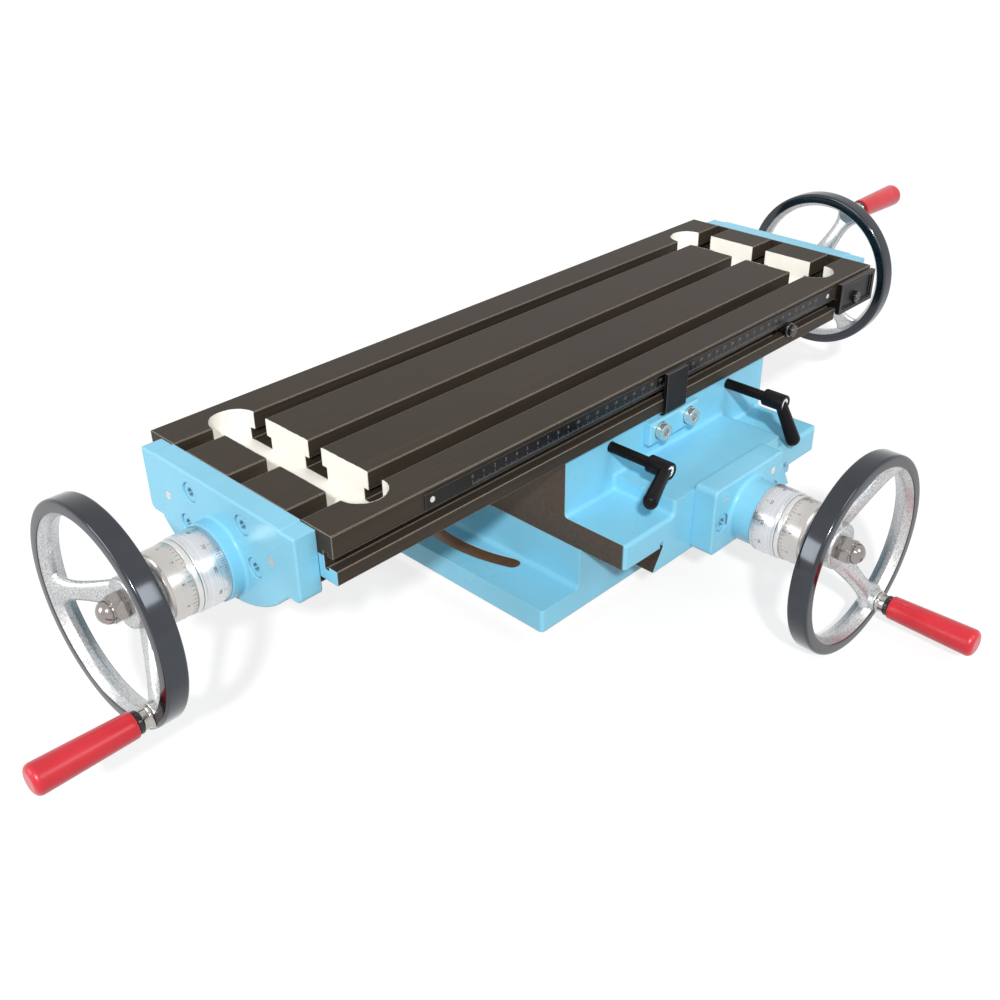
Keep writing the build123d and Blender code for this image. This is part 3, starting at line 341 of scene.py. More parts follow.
material, tree, shader, place, xyz = fresh_material("table_iron")
iron = put(tree, "Group", {"node_tree": milled}, Place=place, Stretch=(6.0, 500.0, 500.0), Gloss=0.42,
           Colour=rgb(72, 64, 55), Dark_Colour=rgb(53, 47, 41), Edge_Colour=rgb(214, 202, 188),
           Edge_Width=0.0012).outputs
paint = put(tree, "Group", {"node_tree": enamel}, Place=place).outputs
ragged = put(tree, "TexNoise", None, Vector=place, Scale=150.0, Detail=3.0).outputs[0]
below = span(tree, xyz["Z"], table_top - trough_depth, table_top - brim)
above = span(tree, xyz["Z"], table_top - splash, table_top + clear)
wander = maths(tree, "MULTIPLY", maths(tree, "SUBTRACT", ragged, 0.5), 0.0016)
troughs = []
for centre in (table_low.x + trough_inset, table_high.x - trough_inset):
    from_centre = maths(tree, "ABSOLUTE", maths(tree, "SUBTRACT", xyz["X"], centre))
    straight = maths(tree, "SUBTRACT", maths(tree, "ABSOLUTE", xyz["Y"]), trough_half)
    from_line = away(tree, from_centre, maths(tree, "MAXIMUM", straight, 0.0))
    inside = span(tree, from_line, -1.0, trough_radius)
    beside = span(tree, maths(tree, "ADD", from_line, wander), -1.0, trough_radius + 0.0001)
    troughs += [both(tree, inside, below), both(tree, beside, above)]
cream = either(tree, *troughs)
end_faces = maths(tree, "SUBTRACT", 1.0, span(tree, xyz["X"], table_low.x + skim, table_high.x - skim))
end_faces = both(tree, end_faces, span(tree, xyz["Z"], 0.0, table_top - blue_top))
colour = blend(tree, cream, iron["Colour"], rgb(250, 248, 240))
colour = blend(tree, end_faces, colour, paint["Colour"])
painted = either(tree, cream, end_faces)
unpainted = maths(tree, "SUBTRACT", 1.0, painted)
tree.links.new(maths(tree, "MULTIPLY", unpainted, 0.1), shader.inputs["Metallic"])
shader.inputs["Specular IOR Level"].default_value = 0.1
rough = put(tree, "Mix", None, i0=painted, i2=iron["Roughness"], i3=0.3).outputs[0]
feed(tree, shader, colour, rough, iron["Normal"])
dress(material, "table")


# Gibs, nuts, bushes and other plain parts
# Cast iron gib strips, bronze nuts and bushes, and bright steel screws, pins and keys, all as
# they come from the machine.

def plain_metal(name, colour, dark, edge, gloss, metallic, stretch=(300.0, 300.0, 300.0), sheen=0.5):
    """Turned or milled metal in one tone, lighter at edges and inner corners: partly wear, partly a painted
    highlight.
    """
    material, tree, shader, place, xyz = fresh_material(name)
    metal = put(tree, "Group", {"node_tree": milled}, Place=place, Stretch=stretch, Colour=colour,
                Dark_Colour=dark, Edge_Colour=edge, Gloss=gloss, Depth=0.12).outputs
    feed(tree, shader, metal["Colour"], metal["Roughness"], metal["Normal"])
    shader.inputs["Metallic"].default_value = metallic
    shader.inputs["Specular IOR Level"].default_value = sheen
    return material


grey_iron = plain_metal("grey_iron", rgb(130, 120, 110), rgb(98, 90, 84), rgb(190, 182, 174), 0.35, 0.7)
dress(grey_iron, "x_gib", "y_gib")
bronze = plain_metal("bronze", rgb(196, 150, 84), rgb(150, 106, 56), rgb(226, 190, 130), 0.28, 0.9)
dress(bronze, "x_feed_nut", "y_feed_nut", "front_bush", "end_bushes")
bright_steel = plain_metal("bright_steel", rgb(236, 235, 232), rgb(206, 204, 200), rgb(250, 250, 250), 0.16,
                           0.75)
dress(bright_steel, "y_gib_screws", "x_gib_screws", "x_wheel_keys", "y_wheel_keys", "end_plate_dowels",
      "front_bracket_dowels", "stop_foot_screws", "scale_screws", "clamp_screw_left", "clamp_screw_right")
dark_steel = plain_metal("dark_steel", rgb(96, 94, 92), rgb(66, 64, 64), rgb(170, 168, 166), 0.2, 0.9)
dress(dark_steel, "limit_block_bolt", "limit_block_nut", "stop_dog", "stop_dog_bolt", "stop_dog_nut")
black_steel = plain_metal("black_steel", rgb(34, 33, 34), rgb(22, 22, 24), rgb(166, 164, 160), 0.28, 0.3,
                          sheen=0.2)
dress(black_steel, "limit_block", "stop_blade", "x_feed_nut_screws", "y_feed_nut_screws")


# Dials, rings and sleeves
# Beside each bearing a graduated dial of satin chrome turns on the shaft, then a thin ring and a
# marked sleeve, which the handwheel clamps. All are turned from steel bar.

mm = 0.001
end_ways = {"left": (-1, 0, 0), "right": (1, 0, 0), "front": (0, -1, 0)}
dial_length, ring_length, play = 19.4, 3.6, 0.2
bore, dial_radius, ring_radius, sleeve_radius = 7.1, 25.3, 24.6, 24.0
hub_step, nut_seat, rim_seat = 2.5, 20.0, 26.0


def shaft_end(side):
    """Where a shaft leaves its bearing: the start on its axis, the way out, the handle's side, and how far
    out sleeve, neck, hub, nut and rim begin."""
    way = np.array(end_ways[side], float)
    dial, grip = middle("dial_" + side), middle("grip_" + side)
    handle = grip - dial
    handle -= way * (handle @ way)
    circle = np.linalg.norm(handle)
    handle /= circle
    low, high = (np.array(corner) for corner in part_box("sleeve_" + side))
    sleeve_start = dial_length + 2 * play + ring_length
    sleeve = abs((high - low) @ way) / mm
    neck = sleeve_start + sleeve
    return {"start": dial - way * (dial_length / 2 + play) * mm, "way": way, "handle": handle,
            "across": np.cross(way, handle), "circle": circle / mm, "sleeve": sleeve_start, "neck": neck,
            "hub": neck + hub_step, "nut": neck + nut_seat, "rim": neck + rim_seat}


def softened(corners, cut, steps=4):
    """A profile with round corners: each curve leaves its corner a cut's length early, bends towards the
    corner, and meets the next side a cut's length late: (1-t)^2 start + 2t(1-t) corner + t^2 end."""
    corners = np.array(corners, float)
    cut = np.broadcast_to(np.array(cut, float), len(corners))[:, None]
    before = np.roll(corners, 1, axis=0) - corners
    after = np.roll(corners, -1, axis=0) - corners
    before /= np.linalg.norm(before, axis=1, keepdims=True)
    after /= np.linalg.norm(after, axis=1, keepdims=True)
    t = np.linspace(0, 1, steps + 1)[None, :, None]
    start, end = (corners + before * cut)[:, None], (corners + after * cut)[:, None]
    return ((1 - t) ** 2 * start + 2 * t * (1 - t) * corners[:, None] + t ** 2 * end).reshape(-1, 2)


def closed(profile):
    """A profile that returns to its first point."""
    return np.concatenate([profile, profile[:1]])


def laid(end, a, b, h):
    """Points at a along the handle's side, b across it and h outwards, from the end's start, in metres."""
    sideways = a[..., None] * end["handle"] + b[..., None] * end["across"]
    return end["start"] + (sideways + h[..., None] * end["way"]) * mm


def lathe(end, profile, centre=0.0, columns=96):
    """A turned surface: each (radius, height) of the profile goes once round, at (radius cos, radius sin,
    height)."""
    angle = np.linspace(0, 2 * np.pi, columns + 1)
    radius, height = np.array(profile, float).T[:, :, None] + 0 * angle
    points = laid(end, centre + radius * np.cos(angle), radius * np.sin(angle), height)
    return {"points": points, "reach": radius, "rise": height}


def build(name, sheets, material, body, finish, *replaced, sharp=32):
    """One mesh from sheets of points. Neighbours in a sheet are joined by quads, points that coincide at
    seams and poles are merged, and the faces are turned outwards. Reach and rise stay as attributes."""
    quads, start = [], 0
    for sheet in sheets:
        rows, columns = sheet["reach"].shape
        index = np.arange(rows * columns).reshape(rows, columns) + start
        ring = np.stack([index[:-1, :-1], index[1:, :-1], index[1:, 1:], index[:-1, 1:]], -1)
        quads.append(ring.reshape(-1, 4))
        start += rows * columns
    mesh = bpy.data.meshes.new(name)
    points = np.concatenate([sheet["points"].reshape(-1, 3) for sheet in sheets])
    mesh.from_pydata(points.tolist(), [], np.concatenate(quads).tolist())
    for key in ("reach", "rise"):
        layer = mesh.attributes.new(key, "FLOAT", "POINT")
        layer.data.foreach_set("value", np.concatenate([sheet[key].ravel() for sheet in sheets]))
    return finish_piece(name, mesh, material, body, finish, *replaced, sharp=sharp)


def finish_piece(name, mesh, material, body, finish, *replaced, sharp=32):
    """Weld a mesh, turn its faces outwards, shade it, give it its material, hang it on its body and hide the
    CAD nodes it replaces.
    """
    shape = bmesh.new()
    shape.from_mesh(mesh)
    bmesh.ops.remove_doubles(shape, verts=shape.verts, dist=1e-6)
    bmesh.ops.recalc_face_normals(shape, faces=shape.faces)
    shape.to_mesh(mesh)
    shape.free()
    mesh.shade_smooth()
    mesh.set_sharp_from_angle(angle=math.radians(sharp))
    mesh.materials.append(material)
    piece = bpy.data.objects.new(name, mesh)
    bpy.context.scene.collection.objects.link(piece)
    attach(piece, body)
    if replaced:
        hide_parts(*replaced)
    return piece


# turned gives the fine rings that a lathe tool leaves: they change only with reach and rise.
group, into, out = new_group(
    "turned",
    {"Place": ("Vector", None), "Reach": ("Float", 0.0), "Rise": ("Float", 0.0), "Colour": ("Color", None),
     "Dark Colour": ("Color", None), "Gloss": ("Float", 0.2), "Depth": ("Float", 0.1)},
    {"Colour": "Color", "Roughness": "Float", "Normal": "Vector"})
along = put(group, "CombineXYZ", None, X=into["Reach"], Y=into["Rise"]).outputs[0]
rings = put(group, "TexNoise", {"noise_dimensions": "2D"}, Vector=along, Scale=5.0, Detail=3.0).outputs[0]
bloom = put(group, "TexNoise", None, Vector=into["Place"], Scale=30.0, Detail=2.0).outputs[0]
tone = maths(group, "MULTIPLY_ADD", rings, 0.7, maths(group, "MULTIPLY", bloom, 0.3))
tone = ramp(group, tone, 0.3, 0.7)
bump = put(group, "Bump", None, Strength=into["Depth"], Distance=0.0001, Height=rings)
colour = blend(group, tone, into["Dark Colour"], into["Colour"])
rough = maths(group, "MULTIPLY_ADD", tone, 0.1, into["Gloss"])
give(group, out, Colour=colour, Roughness=rough, Normal=bump.outputs[0])
turned = group


def attribute(tree, name):
    """A piece's own attribute."""
    return put(tree, "Attribute", {"attribute_name": name}).outputs["Fac"]


def turned_material(name, colour, dark, gloss, depth, metallic=1.0, sheen=0.5):
    """Turned metal or plastic in one tone."""
    material, tree, shader, place, xyz = fresh_material(name)
    skin = put(tree, "Group", {"node_tree": turned}, Place=place, Reach=attribute(tree, "reach"),
               Rise=attribute(tree, "rise"), Colour=colour, Dark_Colour=dark, Gloss=gloss,
               Depth=depth).outputs
    feed(tree, shader, skin["Colour"], skin["Roughness"], skin["Normal"])
    shader.inputs["Metallic"].default_value = metallic
    shader.inputs["Specular IOR Level"].default_value = sheen
    return material


sunk, proud, letter_depth = 0.08, 0.03, 0.04
box_sides = [(0, 2, 3, 1), (4, 5, 7, 6), (0, 1, 5, 4), (2, 6, 7, 3), (0, 4, 6, 2), (1, 3, 7, 5)]


def engraved(name, marks, numbers, size, wrap, material, body):
    """Filled engraving: marks are rows of (along, from, to, half width), numbers are (text, along, up), in
    millimetres. Both lie flat first, then wrap lays each (along, up, proud) point on the metal."""
    marks = np.array(marks, float)
    low = np.stack([marks[:, 0] - marks[:, 3], marks[:, 1], np.full(len(marks), -sunk)], 1)
    high = np.stack([marks[:, 0] + marks[:, 3], marks[:, 2], np.full(len(marks), proud)], 1)
    corner = np.array([(i & 1, i >> 1 & 1, i >> 2 & 1) for i in range(8)])
    points = [(low[:, None] + (high - low)[:, None] * corner).reshape(-1, 3)]
    faces = (np.array(box_sides)[None] + 8 * np.arange(len(marks))[:, None, None]).reshape(-1, 4).tolist()
    start = 8 * len(marks)
    for text, at, up in numbers:
        letters = bpy.data.curves.new(name + "_letters", "FONT")
        letters.body = text
        letters.size = size
        letters.extrude = letter_depth
        letters.resolution_u = 2
        letters.align_x = "CENTER"
        letters.align_y = "CENTER"
        holder = bpy.data.objects.new(name + "_letters", letters)
        flat = bpy.data.meshes.new_from_object(holder)
        spots = np.empty(len(flat.vertices) * 3)
        flat.vertices.foreach_get("co", spots)
        points.append(spots.reshape(-1, 3) + (at, up, proud - letter_depth))
        faces += [[start + index for index in face.vertices] for face in flat.polygons]
        start += len(flat.vertices)
        bpy.data.objects.remove(holder)
        bpy.data.meshes.remove(flat)
        bpy.data.curves.remove(letters)
    mesh = bpy.data.meshes.new(name)
    mesh.from_pydata(wrap(np.concatenate(points)).tolist(), [], faces)
    return finish_piece(name, mesh, material, body, "black")


def round_drum(end, radius, level):
    """Lays flat points on a drum: along, divided by the radius, is the angle; up runs to the bearing."""
    def wrap(points):
        angle, out_to = -points[:, 0] / radius, radius + points[:, 2]
        return laid(end, out_to * np.cos(angle), out_to * np.sin(angle), level - points[:, 1])
    return wrap


def tick(i, short, fifth, tenth):
    """How far the i-th mark reaches: tenth for every tenth, fifth for every other fifth, else short."""
    return tenth if i % 10 == 0 else fifth if i % 5 == 0 else short


def paint_material(name, colour, dark, gloss):
    """A filled or painted mark, slightly uneven."""
    material, tree, shader, place, xyz = fresh_material(name)
    cloud = put(tree, "TexNoise", None, Vector=place, Scale=260.0, Detail=2.0).outputs[0]
    tree.links.new(blend(tree, cloud, dark, colour), shader.inputs["Base Color"])
    rough = put(tree, "MapRange", None, Value=cloud, To_Min=gloss, To_Max=gloss + 0.2).outputs[0]
    tree.links.new(rough, shader.inputs["Roughness"])
    return material


satin_chrome = turned_material("satin_chrome", rgb(232, 234, 236), rgb(196, 199, 204), 0.2, 0.06, 0.85)
ring_steel = turned_material("ring_steel", rgb(232, 232, 230), rgb(212, 212, 210), 0.24, 0.05, 0.85)
sleeve_steel = turned_material("sleeve_steel", rgb(222, 218, 213), rgb(192, 188, 184), 0.24, 0.06, 0.85)
black_fill = paint_material("black_fill", rgb(40, 40, 42), rgb(24, 24, 26), 0.4)

ends = {side: shaft_end(side) for side in end_ways}
dial_corners = [(bore, play), (dial_radius - 0.2, play), (dial_radius, play + 0.4), (dial_radius, 17.6),
                (dial_radius - 0.35, 17.9), (dial_radius - 0.35, 18.3), (dial_radius, 18.6),
                (dial_radius - 0.4, play + dial_length), (bore, play + dial_length)]
dial_profile = softened(dial_corners, (0, 0.15, 0.15, 0.1, 0.1, 0.1, 0.1, 0.15, 0), 2)
divisions = 100
pitch = 2 * math.pi * dial_radius / divisions
dial_marks = [(i * pitch, tick(i, -3.0, -4.2, -5.4), -0.2, 0.11) for i in range(divisions)]
dial_numbers = [(str(i * 10), i * 10 * pitch, -8.2) for i in range(10)]
for side, end in ends.items():
    build("turned_dial_" + side, [lathe(end, closed(dial_profile))], satin_chrome, "dial_" + side,
          "satin_chrome", "dial_" + side)
    engraved("dial_figures_" + side, dial_marks, dial_numbers, 3.4, round_drum(end, dial_radius, play + 0.6),
             black_fill, "dial_" + side)

ring_start = dial_length + 2 * play
ring_end = ring_start + ring_length
ring_corners = [(bore, ring_start), (ring_radius, ring_start), (ring_radius, ring_end), (bore, ring_end)]
ring_profile = softened(ring_corners, (0, 0.4, 0.4, 0), 3)


def sleeve_profile(end):
    """A groove beside the ring, the marked band, and a chamfer at the wheel."""
    start, neck, r = end["sleeve"], end["neck"], sleeve_radius
    corners = [(bore, start), (r - 0.5, start), (r - 0.5, start + 0.5), (r, start + 0.8), (r, neck - 1.5),
               (r - 1.4, neck), (bore, neck)]
    return closed(softened(corners, (0, 0.1, 0.1, 0.1, 0.3, 0.3, 0), 2))


sleeve_divisions, shortest_marked = 50, 10
sleeve_pitch = 2 * math.pi * sleeve_radius / sleeve_divisions
sleeve_marks = [(i * sleeve_pitch, tick(i, -3.2, -4.6, -4.6), -1.0, 0.12) for i in range(sleeve_divisions)]
sleeve_numbers = [(str(i), i * 5 * sleeve_pitch, -7.4) for i in range(10)]
screw_of = {"left": "x_screw", "right": "x_screw", "front": "y_screw"}
for side, end in ends.items():
    build("turned_sleeve_" + side, [lathe(end, sleeve_profile(end))], sleeve_steel, screw_of[side],
          "satin_chrome", "sleeve_" + side)
    if end["neck"] - end["sleeve"] > shortest_marked:
        engraved("sleeve_figures_" + side, sleeve_marks, sleeve_numbers, 3.0,
                 round_drum(end, sleeve_radius, end["sleeve"]), black_fill, screw_of[side])
build("turned_rings_x", [lathe(ends[side], closed(ring_profile)) for side in ("left", "right")], ring_steel,
      "x_screw", "chrome", "x_dial_rings")
build("turned_ring_y", [lathe(ends["front"], closed(ring_profile))], ring_steel, "y_screw", "chrome",
      "y_dial_rings")


# Handwheels
# Cast wheels with three flared spokes that rise from the hub to the rim. The rim's outside and both
# its faces are ground and chromed, the inner wall, spokes and hub keep the rough skin of the casting.

rim_radius, rim_depth, rim_width, rim_back, polish_from = 74.0, 12.0, 12.0, 3.0, 65.6
neck_radius, hub_radius, boss_radius = 13.0, 17.0, 8.5
spoke_start, spoke_end, spoke_count = 9.0, 65.4, 3


def rim_sheet(end):
    """The rim: a closed section of rounded corners, with an inner wall of two slopes, carried once round."""
    low, high = end["rim"] - rim_back, end["rim"] + rim_width
    inner = rim_radius - rim_depth
    corners = [(inner + 4, low), (rim_radius, low), (rim_radius, high), (inner + 4, high),
               (inner, low + rim_width * 0.8), (inner, low + rim_width * 0.45)]
    profile = softened(corners, (0.5, 2.3, 2.3, 0.5, 1.0, 1.0), 6)
    return lathe(end, closed(profile), columns=160)


def hub_sheet(end):
    """The hub: a turned neck against the sleeve and a rounded boss."""
    corners = [(0, end["neck"]), (neck_radius, end["neck"]), (neck_radius, end["hub"]),
               (hub_radius, end["hub"]), (hub_radius, end["nut"]), (0, end["nut"])]
    return lathe(end, softened(corners, (0, 0.4, 0.8, 1.2, 2.2, 0), 5), columns=72)


def spoke_sheet(end, turn):
    """A spoke: flattened rings along a rising line. With x from 0 at the hub to 1 at the rim, the half width
    is 6 + 4 (1 - x)^2 + 8 x^8, the half thickness 3.6 + 0.9 x^4, and each ring is a soft lozenge, with the
    cosine to the power 0.72 across and the sine to the power 1.15 in depth."""
    out_to = np.concatenate([[spoke_start], np.linspace(spoke_start, spoke_end, 40), [spoke_end]])[:, None]
    x = np.clip((out_to - hub_radius) / (rim_radius - 11 - hub_radius), 0, 1.05)
    size = np.ones_like(out_to)
    size[[0, -1]] = 0
    hub_level, rim_level = (end["hub"] + end["nut"]) / 2 + 0.5, end["rim"] + rim_width / 2 - 0.6
    angle = np.linspace(0, 2 * np.pi, 33)[None, :]
    side = np.sign(np.cos(angle)) * np.abs(np.cos(angle)) ** 0.72
    back = np.sign(np.sin(angle)) * np.abs(np.sin(angle)) ** 1.15
    wide = (6 + 4 * (1 - x) ** 2 + 8 * x ** 8) * side * size
    thick = (3.6 + 0.9 * x ** 4) * back * size
    level = hub_level + (rim_level - hub_level) * (out_to - 13) / 50 + thick
    swing = math.radians(turn)
    a = out_to * math.cos(swing) - wide * math.sin(swing)
    b = out_to * math.sin(swing) + wide * math.cos(swing)
    return {"points": laid(end, a, b, level), "reach": np.hypot(a, b) * 0.98, "rise": level}


def boss_sheet(end):
    """The seat of the handle: a round boss in the rim, a little proud of the inner wall."""
    low, high = end["rim"] - 1.0, end["rim"] + rim_width - 0.1
    corners = [(0, low), (boss_radius, low), (boss_radius, high), (0, high)]
    return lathe(end, softened(corners, (0, 1, 1, 0), 4), end["circle"], 48)


# The polished rim's chrome has a dark grey colour: a painted dark reflection, standing for dark surroundings
# mirrored in it.
material, tree, shader, place, xyz = fresh_material("handwheel_chrome_dark_reflection")
reach = attribute(tree, "reach")
ground = span(tree, reach, polish_from, 90.0, 0.15)
chrome = put(tree, "Group", {"node_tree": turned}, Place=place, Reach=reach, Rise=attribute(tree, "rise"),
             Colour=rgb(82, 85, 90), Dark_Colour=rgb(62, 64, 68), Gloss=0.08, Depth=0.01).outputs
sand = put(tree, "TexNoise", None, Vector=place, Scale=1000.0, Detail=3.0).outputs[0]
lump = put(tree, "TexNoise", None, Vector=place, Scale=160.0, Detail=2.0).outputs[0]
skin = maths(tree, "MULTIPLY_ADD", lump, 0.6, maths(tree, "MULTIPLY", sand, 0.5))
grit = ramp(tree, sand, 0.35, 0.62)
cast_colour = blend(tree, grit, rgb(168, 169, 171), rgb(214, 215, 215))
colour = blend(tree, ground, cast_colour, chrome["Colour"])
rough = put(tree, "Mix", None, i0=ground, i2=0.34, i3=chrome["Roughness"]).outputs[0]
strength = maths(tree, "MULTIPLY", maths(tree, "SUBTRACT", 1.0, ground), 0.16)
bump = put(tree, "Bump", None, Strength=strength, Distance=0.0005, Height=skin, Normal=chrome["Normal"])
feed(tree, shader, colour, rough, bump.outputs[0])
shader.inputs["Metallic"].default_value = 1.0
wheel_chrome_with_dark_reflection = material

for side, end in ends.items():
    spokes = [spoke_sheet(end, i * 360 / spoke_count) for i in range(spoke_count)]
    sheets = [rim_sheet(end), hub_sheet(end), boss_sheet(end)] + spokes
    build("cast_wheel_" + side, sheets, wheel_chrome_with_dark_reflection, screw_of[side], "chrome", "handwheel_" + side,
          sharp=40)


# Cap nuts
# A domed hexagon nut holds each wheel on its shaft. It is nickel plated, and its corners are turned off.

cap_flats, cap_height, dome_radius = 17.0, 9.0, 8.0


def hexagon_sheet(end):
    """The hexagon: the radius is that of the flats, half their distance / cos of the angle from a flat's
    middle, but never more than a cone that opens from both ends."""
    angle = np.linspace(0, 2 * np.pi, 97)[None, :]
    rise = np.array([0, 0, 0.4, 0.8, 1.2, 1.8])
    height = np.concatenate([rise, cap_height - rise[::-1]])[:, None]
    from_flat = (angle + np.pi / 6) % (np.pi / 3) - np.pi / 6
    flats = cap_flats / 2 / np.cos(from_flat)
    near_end = np.minimum(height, cap_height - height)
    radius = np.minimum(flats, cap_flats / 2 - 0.15 + 1.1 * near_end)
    radius[[0, -1]] = 0
    level = end["nut"] + height + 0 * angle
    points = laid(end, radius * np.cos(angle), radius * np.sin(angle), level)
    return {"points": points, "reach": radius, "rise": level}


def dome_sheet(end):
    """The dome: a short neck, then a quarter of a circle up to the pole."""
    turn = np.linspace(0, np.pi / 2, 16)
    arc = np.stack([dome_radius * np.cos(turn), cap_height + dome_radius * np.sin(turn)], 1)
    profile = np.concatenate([[(0, 6.0), (dome_radius, 6.0)], arc]) + (0, end["nut"])
    return lathe(end, profile, columns=64)


nickel = turned_material("nickel", rgb(170, 164, 160), rgb(138, 132, 130), 0.08, 0.03)
nut_sheets = [sheet(ends[side]) for side in ("left", "right") for sheet in (hexagon_sheet, dome_sheet)]
build("domed_nuts_x", nut_sheets, nickel, "x_screw", "chrome", "x_cap_nuts")
build("domed_nut_y", [hexagon_sheet(ends["front"]), dome_sheet(ends["front"])], nickel, "y_screw", "chrome",
      "y_cap_nuts")


# Handles
# A steel spindle with a bright collar, coloured black on a band next to the grip, is fixed in the rim, and a
# red moulded grip, which widens towards its rounded end, turns on it.

def spindle_sheet(end):
    """Collar, groove and a ring coloured black outside the rim, and the pin that goes through the grip."""
    face = end["rim"] + rim_width
    corners = [(0, face - 12), (4, face - 12), (4, face), (7.5, face), (7.5, face + 1.4), (6.7, face + 2.0),
               (6.7, face + 6.2), (7.1, face + 6.5), (7.5, face + 7.1), (7.5, face + 10), (4, face + 10),
               (4, face + 65), (0, face + 65)]
    cut = (0, 0.3, 0, 0.4, 0.3, 0.3, 0.3, 0.1, 0.2, 0.5, 0, 0.4, 0)
    sheet = lathe(end, softened(corners, cut, 3), end["circle"], 64)
    sheet["rise"] = sheet["rise"] - face
    return sheet


def grip_sheet(end):
    """The grip: its side follows a slow curve from 8.6 through 9.6 to 10 mm, its bore takes the pin."""
    start = end["rim"] + rim_width + 10.3
    t = np.linspace(0, 1, 24)
    side = np.stack([8.6 + 1.6 * t - 0.2 * t * t, start + 0.8 + 58.7 * t], 1)
    turn = np.linspace(0, np.pi / 2, 9)
    tip = np.stack([5.6 + 4.4 * np.cos(turn), start + 59.6 + 4.4 * np.sin(turn)], 1)
    foot = np.array([(0, start + 56), (4.05, start + 56), (4.05, start), (7.9, start), (8.4, start + 0.2)])
    cap = np.array([(3.0, start + 64.0), (0, start + 64.0)])
    sheet = lathe(end, np.concatenate([foot, side, tip, cap]), end["circle"], 64)
    sheet["rise"] = sheet["rise"] - start
    return sheet


material, tree, shader, place, xyz = fresh_material("handle_collar")
rise = attribute(tree, "rise")
steel = put(tree, "Group", {"node_tree": turned}, Place=place, Reach=attribute(tree, "reach"), Rise=rise,
            Colour=rgb(196, 192, 188), Dark_Colour=rgb(160, 155, 150), Gloss=0.1, Depth=0.08).outputs
black_band = span(tree, rise, 6.45, 10.05, 0.04)
colour = blend(tree, black_band, steel["Colour"], rgb(30, 28, 28))
feed(tree, shader, colour, steel["Roughness"], steel["Normal"])
tree.links.new(maths(tree, "SUBTRACT", 1.0, black_band), shader.inputs["Metallic"])
collar = material

material, tree, shader, place, xyz = fresh_material("red_grip")
cloud = put(tree, "TexNoise", None, Vector=place, Scale=45.0, Detail=3.0).outputs[0]
fine = put(tree, "TexNoise", None, Vector=place, Scale=1400.0, Detail=2.0).outputs[0]
tone = ramp(tree, cloud, 0.3, 0.7)
colour = blend(tree, tone, rgb(202, 32, 46), rgb(216, 46, 58))
rough = maths(tree, "MULTIPLY_ADD", tone, 0.08, 0.3)
shader.inputs["Specular IOR Level"].default_value = 0.2
shader.inputs["Coat Weight"].default_value = 0.6
shader.inputs["Coat Roughness"].default_value = 0.3
bump = put(tree, "Bump", None, Strength=0.12, Distance=0.0002, Height=fine)
feed(tree, shader, colour, rough, bump.outputs[0])
red_grip = material

build("spindles_x", [spindle_sheet(ends[side]) for side in ("left", "right")], collar, "x_screw", "steel",
      "x_handle_spindles")
build("spindle_y", [spindle_sheet(ends["front"])], collar, "y_screw", "steel", "y_handle_spindles")
for side, end in ends.items():
    build("moulded_grip_" + side, [grip_sheet(end)], red_grip, "grip_" + side, "red", "grip_" + side)


# Lead screws
# Two steel screws with a trapezoidal thread of 5 mm lead, ground journals in the bushes, and a
# thrust collar behind each bearing.

screw_lead, screw_crest, screw_root = 5.0, 9.0, 6.6
collar_width, stud_length = 6.0, 10.5


def thread_sheet(end, start, stop, crest, root, lead, columns=20):
    """A thread: in every turn the radius goes root, crest, root while the height climbs by one lead, at
    (radius cos, radius sin, start + lead (turn + angle / 2 pi)). It runs out to the root at both ends."""
    angle = np.linspace(0, 2 * np.pi, columns + 1)[None, :]
    turns = int(abs(stop - start) / lead) + 3
    phase = np.array([0.0, 0.32, 0.5, 0.82])
    radius = np.tile([root, root, crest, crest], turns)[:, None]
    count = (np.arange(turns)[:, None] + phase).reshape(-1, 1)
    height = np.clip(start + lead * (count - 1 + angle / (2 * np.pi)), start, stop)
    fade = np.clip((height - start) / lead, 0, 1) * np.clip((stop - height) / lead, 0, 1)
    radius = root + (radius - root) * fade
    radius = np.concatenate([0 * radius[:1], radius, 0 * radius[:1]])
    height = np.concatenate([height[:1] * 0 + start, height, height[:1] * 0 + stop])
    points = laid(end, radius * np.cos(angle), radius * np.sin(angle), height)
    return {"points": points, "reach": radius, "rise": height}


def journal_sheet(end, bearing):
    """A screw's end: collar behind the bearing, journal, shaft under the wheel, and stud for the nut."""
    back = -bearing - play
    tip = end["nut"] + stud_length
    corners = [(0, back - collar_width), (13, back - collar_width), (13, back), (8, back), (8, 0), (7, 0),
               (7, end["nut"]), (5, end["nut"]), (5, tip), (0, tip)]
    return lathe(end, softened(corners, (0, 0.6, 0.6, 0, 0, 0, 0.5, 0, 0.5, 0), 3), columns=64)


ground_steel = turned_material("ground_steel", rgb(196, 193, 188), rgb(150, 146, 140), 0.2, 0.12)
x_bearing, y_bearing = 25.7, 36.0
x_length = np.linalg.norm(ends["left"]["start"] - ends["right"]["start"]) / mm - 2 * x_bearing
x_screw_sheets = [thread_sheet(ends["left"], collar_width - x_bearing - x_length, -x_bearing - collar_width,
                               screw_crest, screw_root, screw_lead),
                  journal_sheet(ends["left"], x_bearing), journal_sheet(ends["right"], x_bearing)]
build("x_screw_thread", x_screw_sheets, ground_steel, "x_screw", "steel", "x_lead_screw")
y_low, y_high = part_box("y_lead_screw")
y_length = (y_high.y - y_low.y) / mm - (ends["front"]["nut"] + stud_length + 0.5) - y_bearing
y_screw_sheets = [thread_sheet(ends["front"], -y_bearing - y_length, -y_bearing - collar_width,
                               screw_crest, screw_root, screw_lead),
                  journal_sheet(ends["front"], y_bearing)]
build("y_screw_thread", y_screw_sheets, ground_steel, "y_screw", "steel", "y_lead_screw")


# Clamp levers
# Each is a blackened threaded stud that goes through the saddle's wall on to the gib, with a
# moulded black lever on its end, held by a bright socket screw.

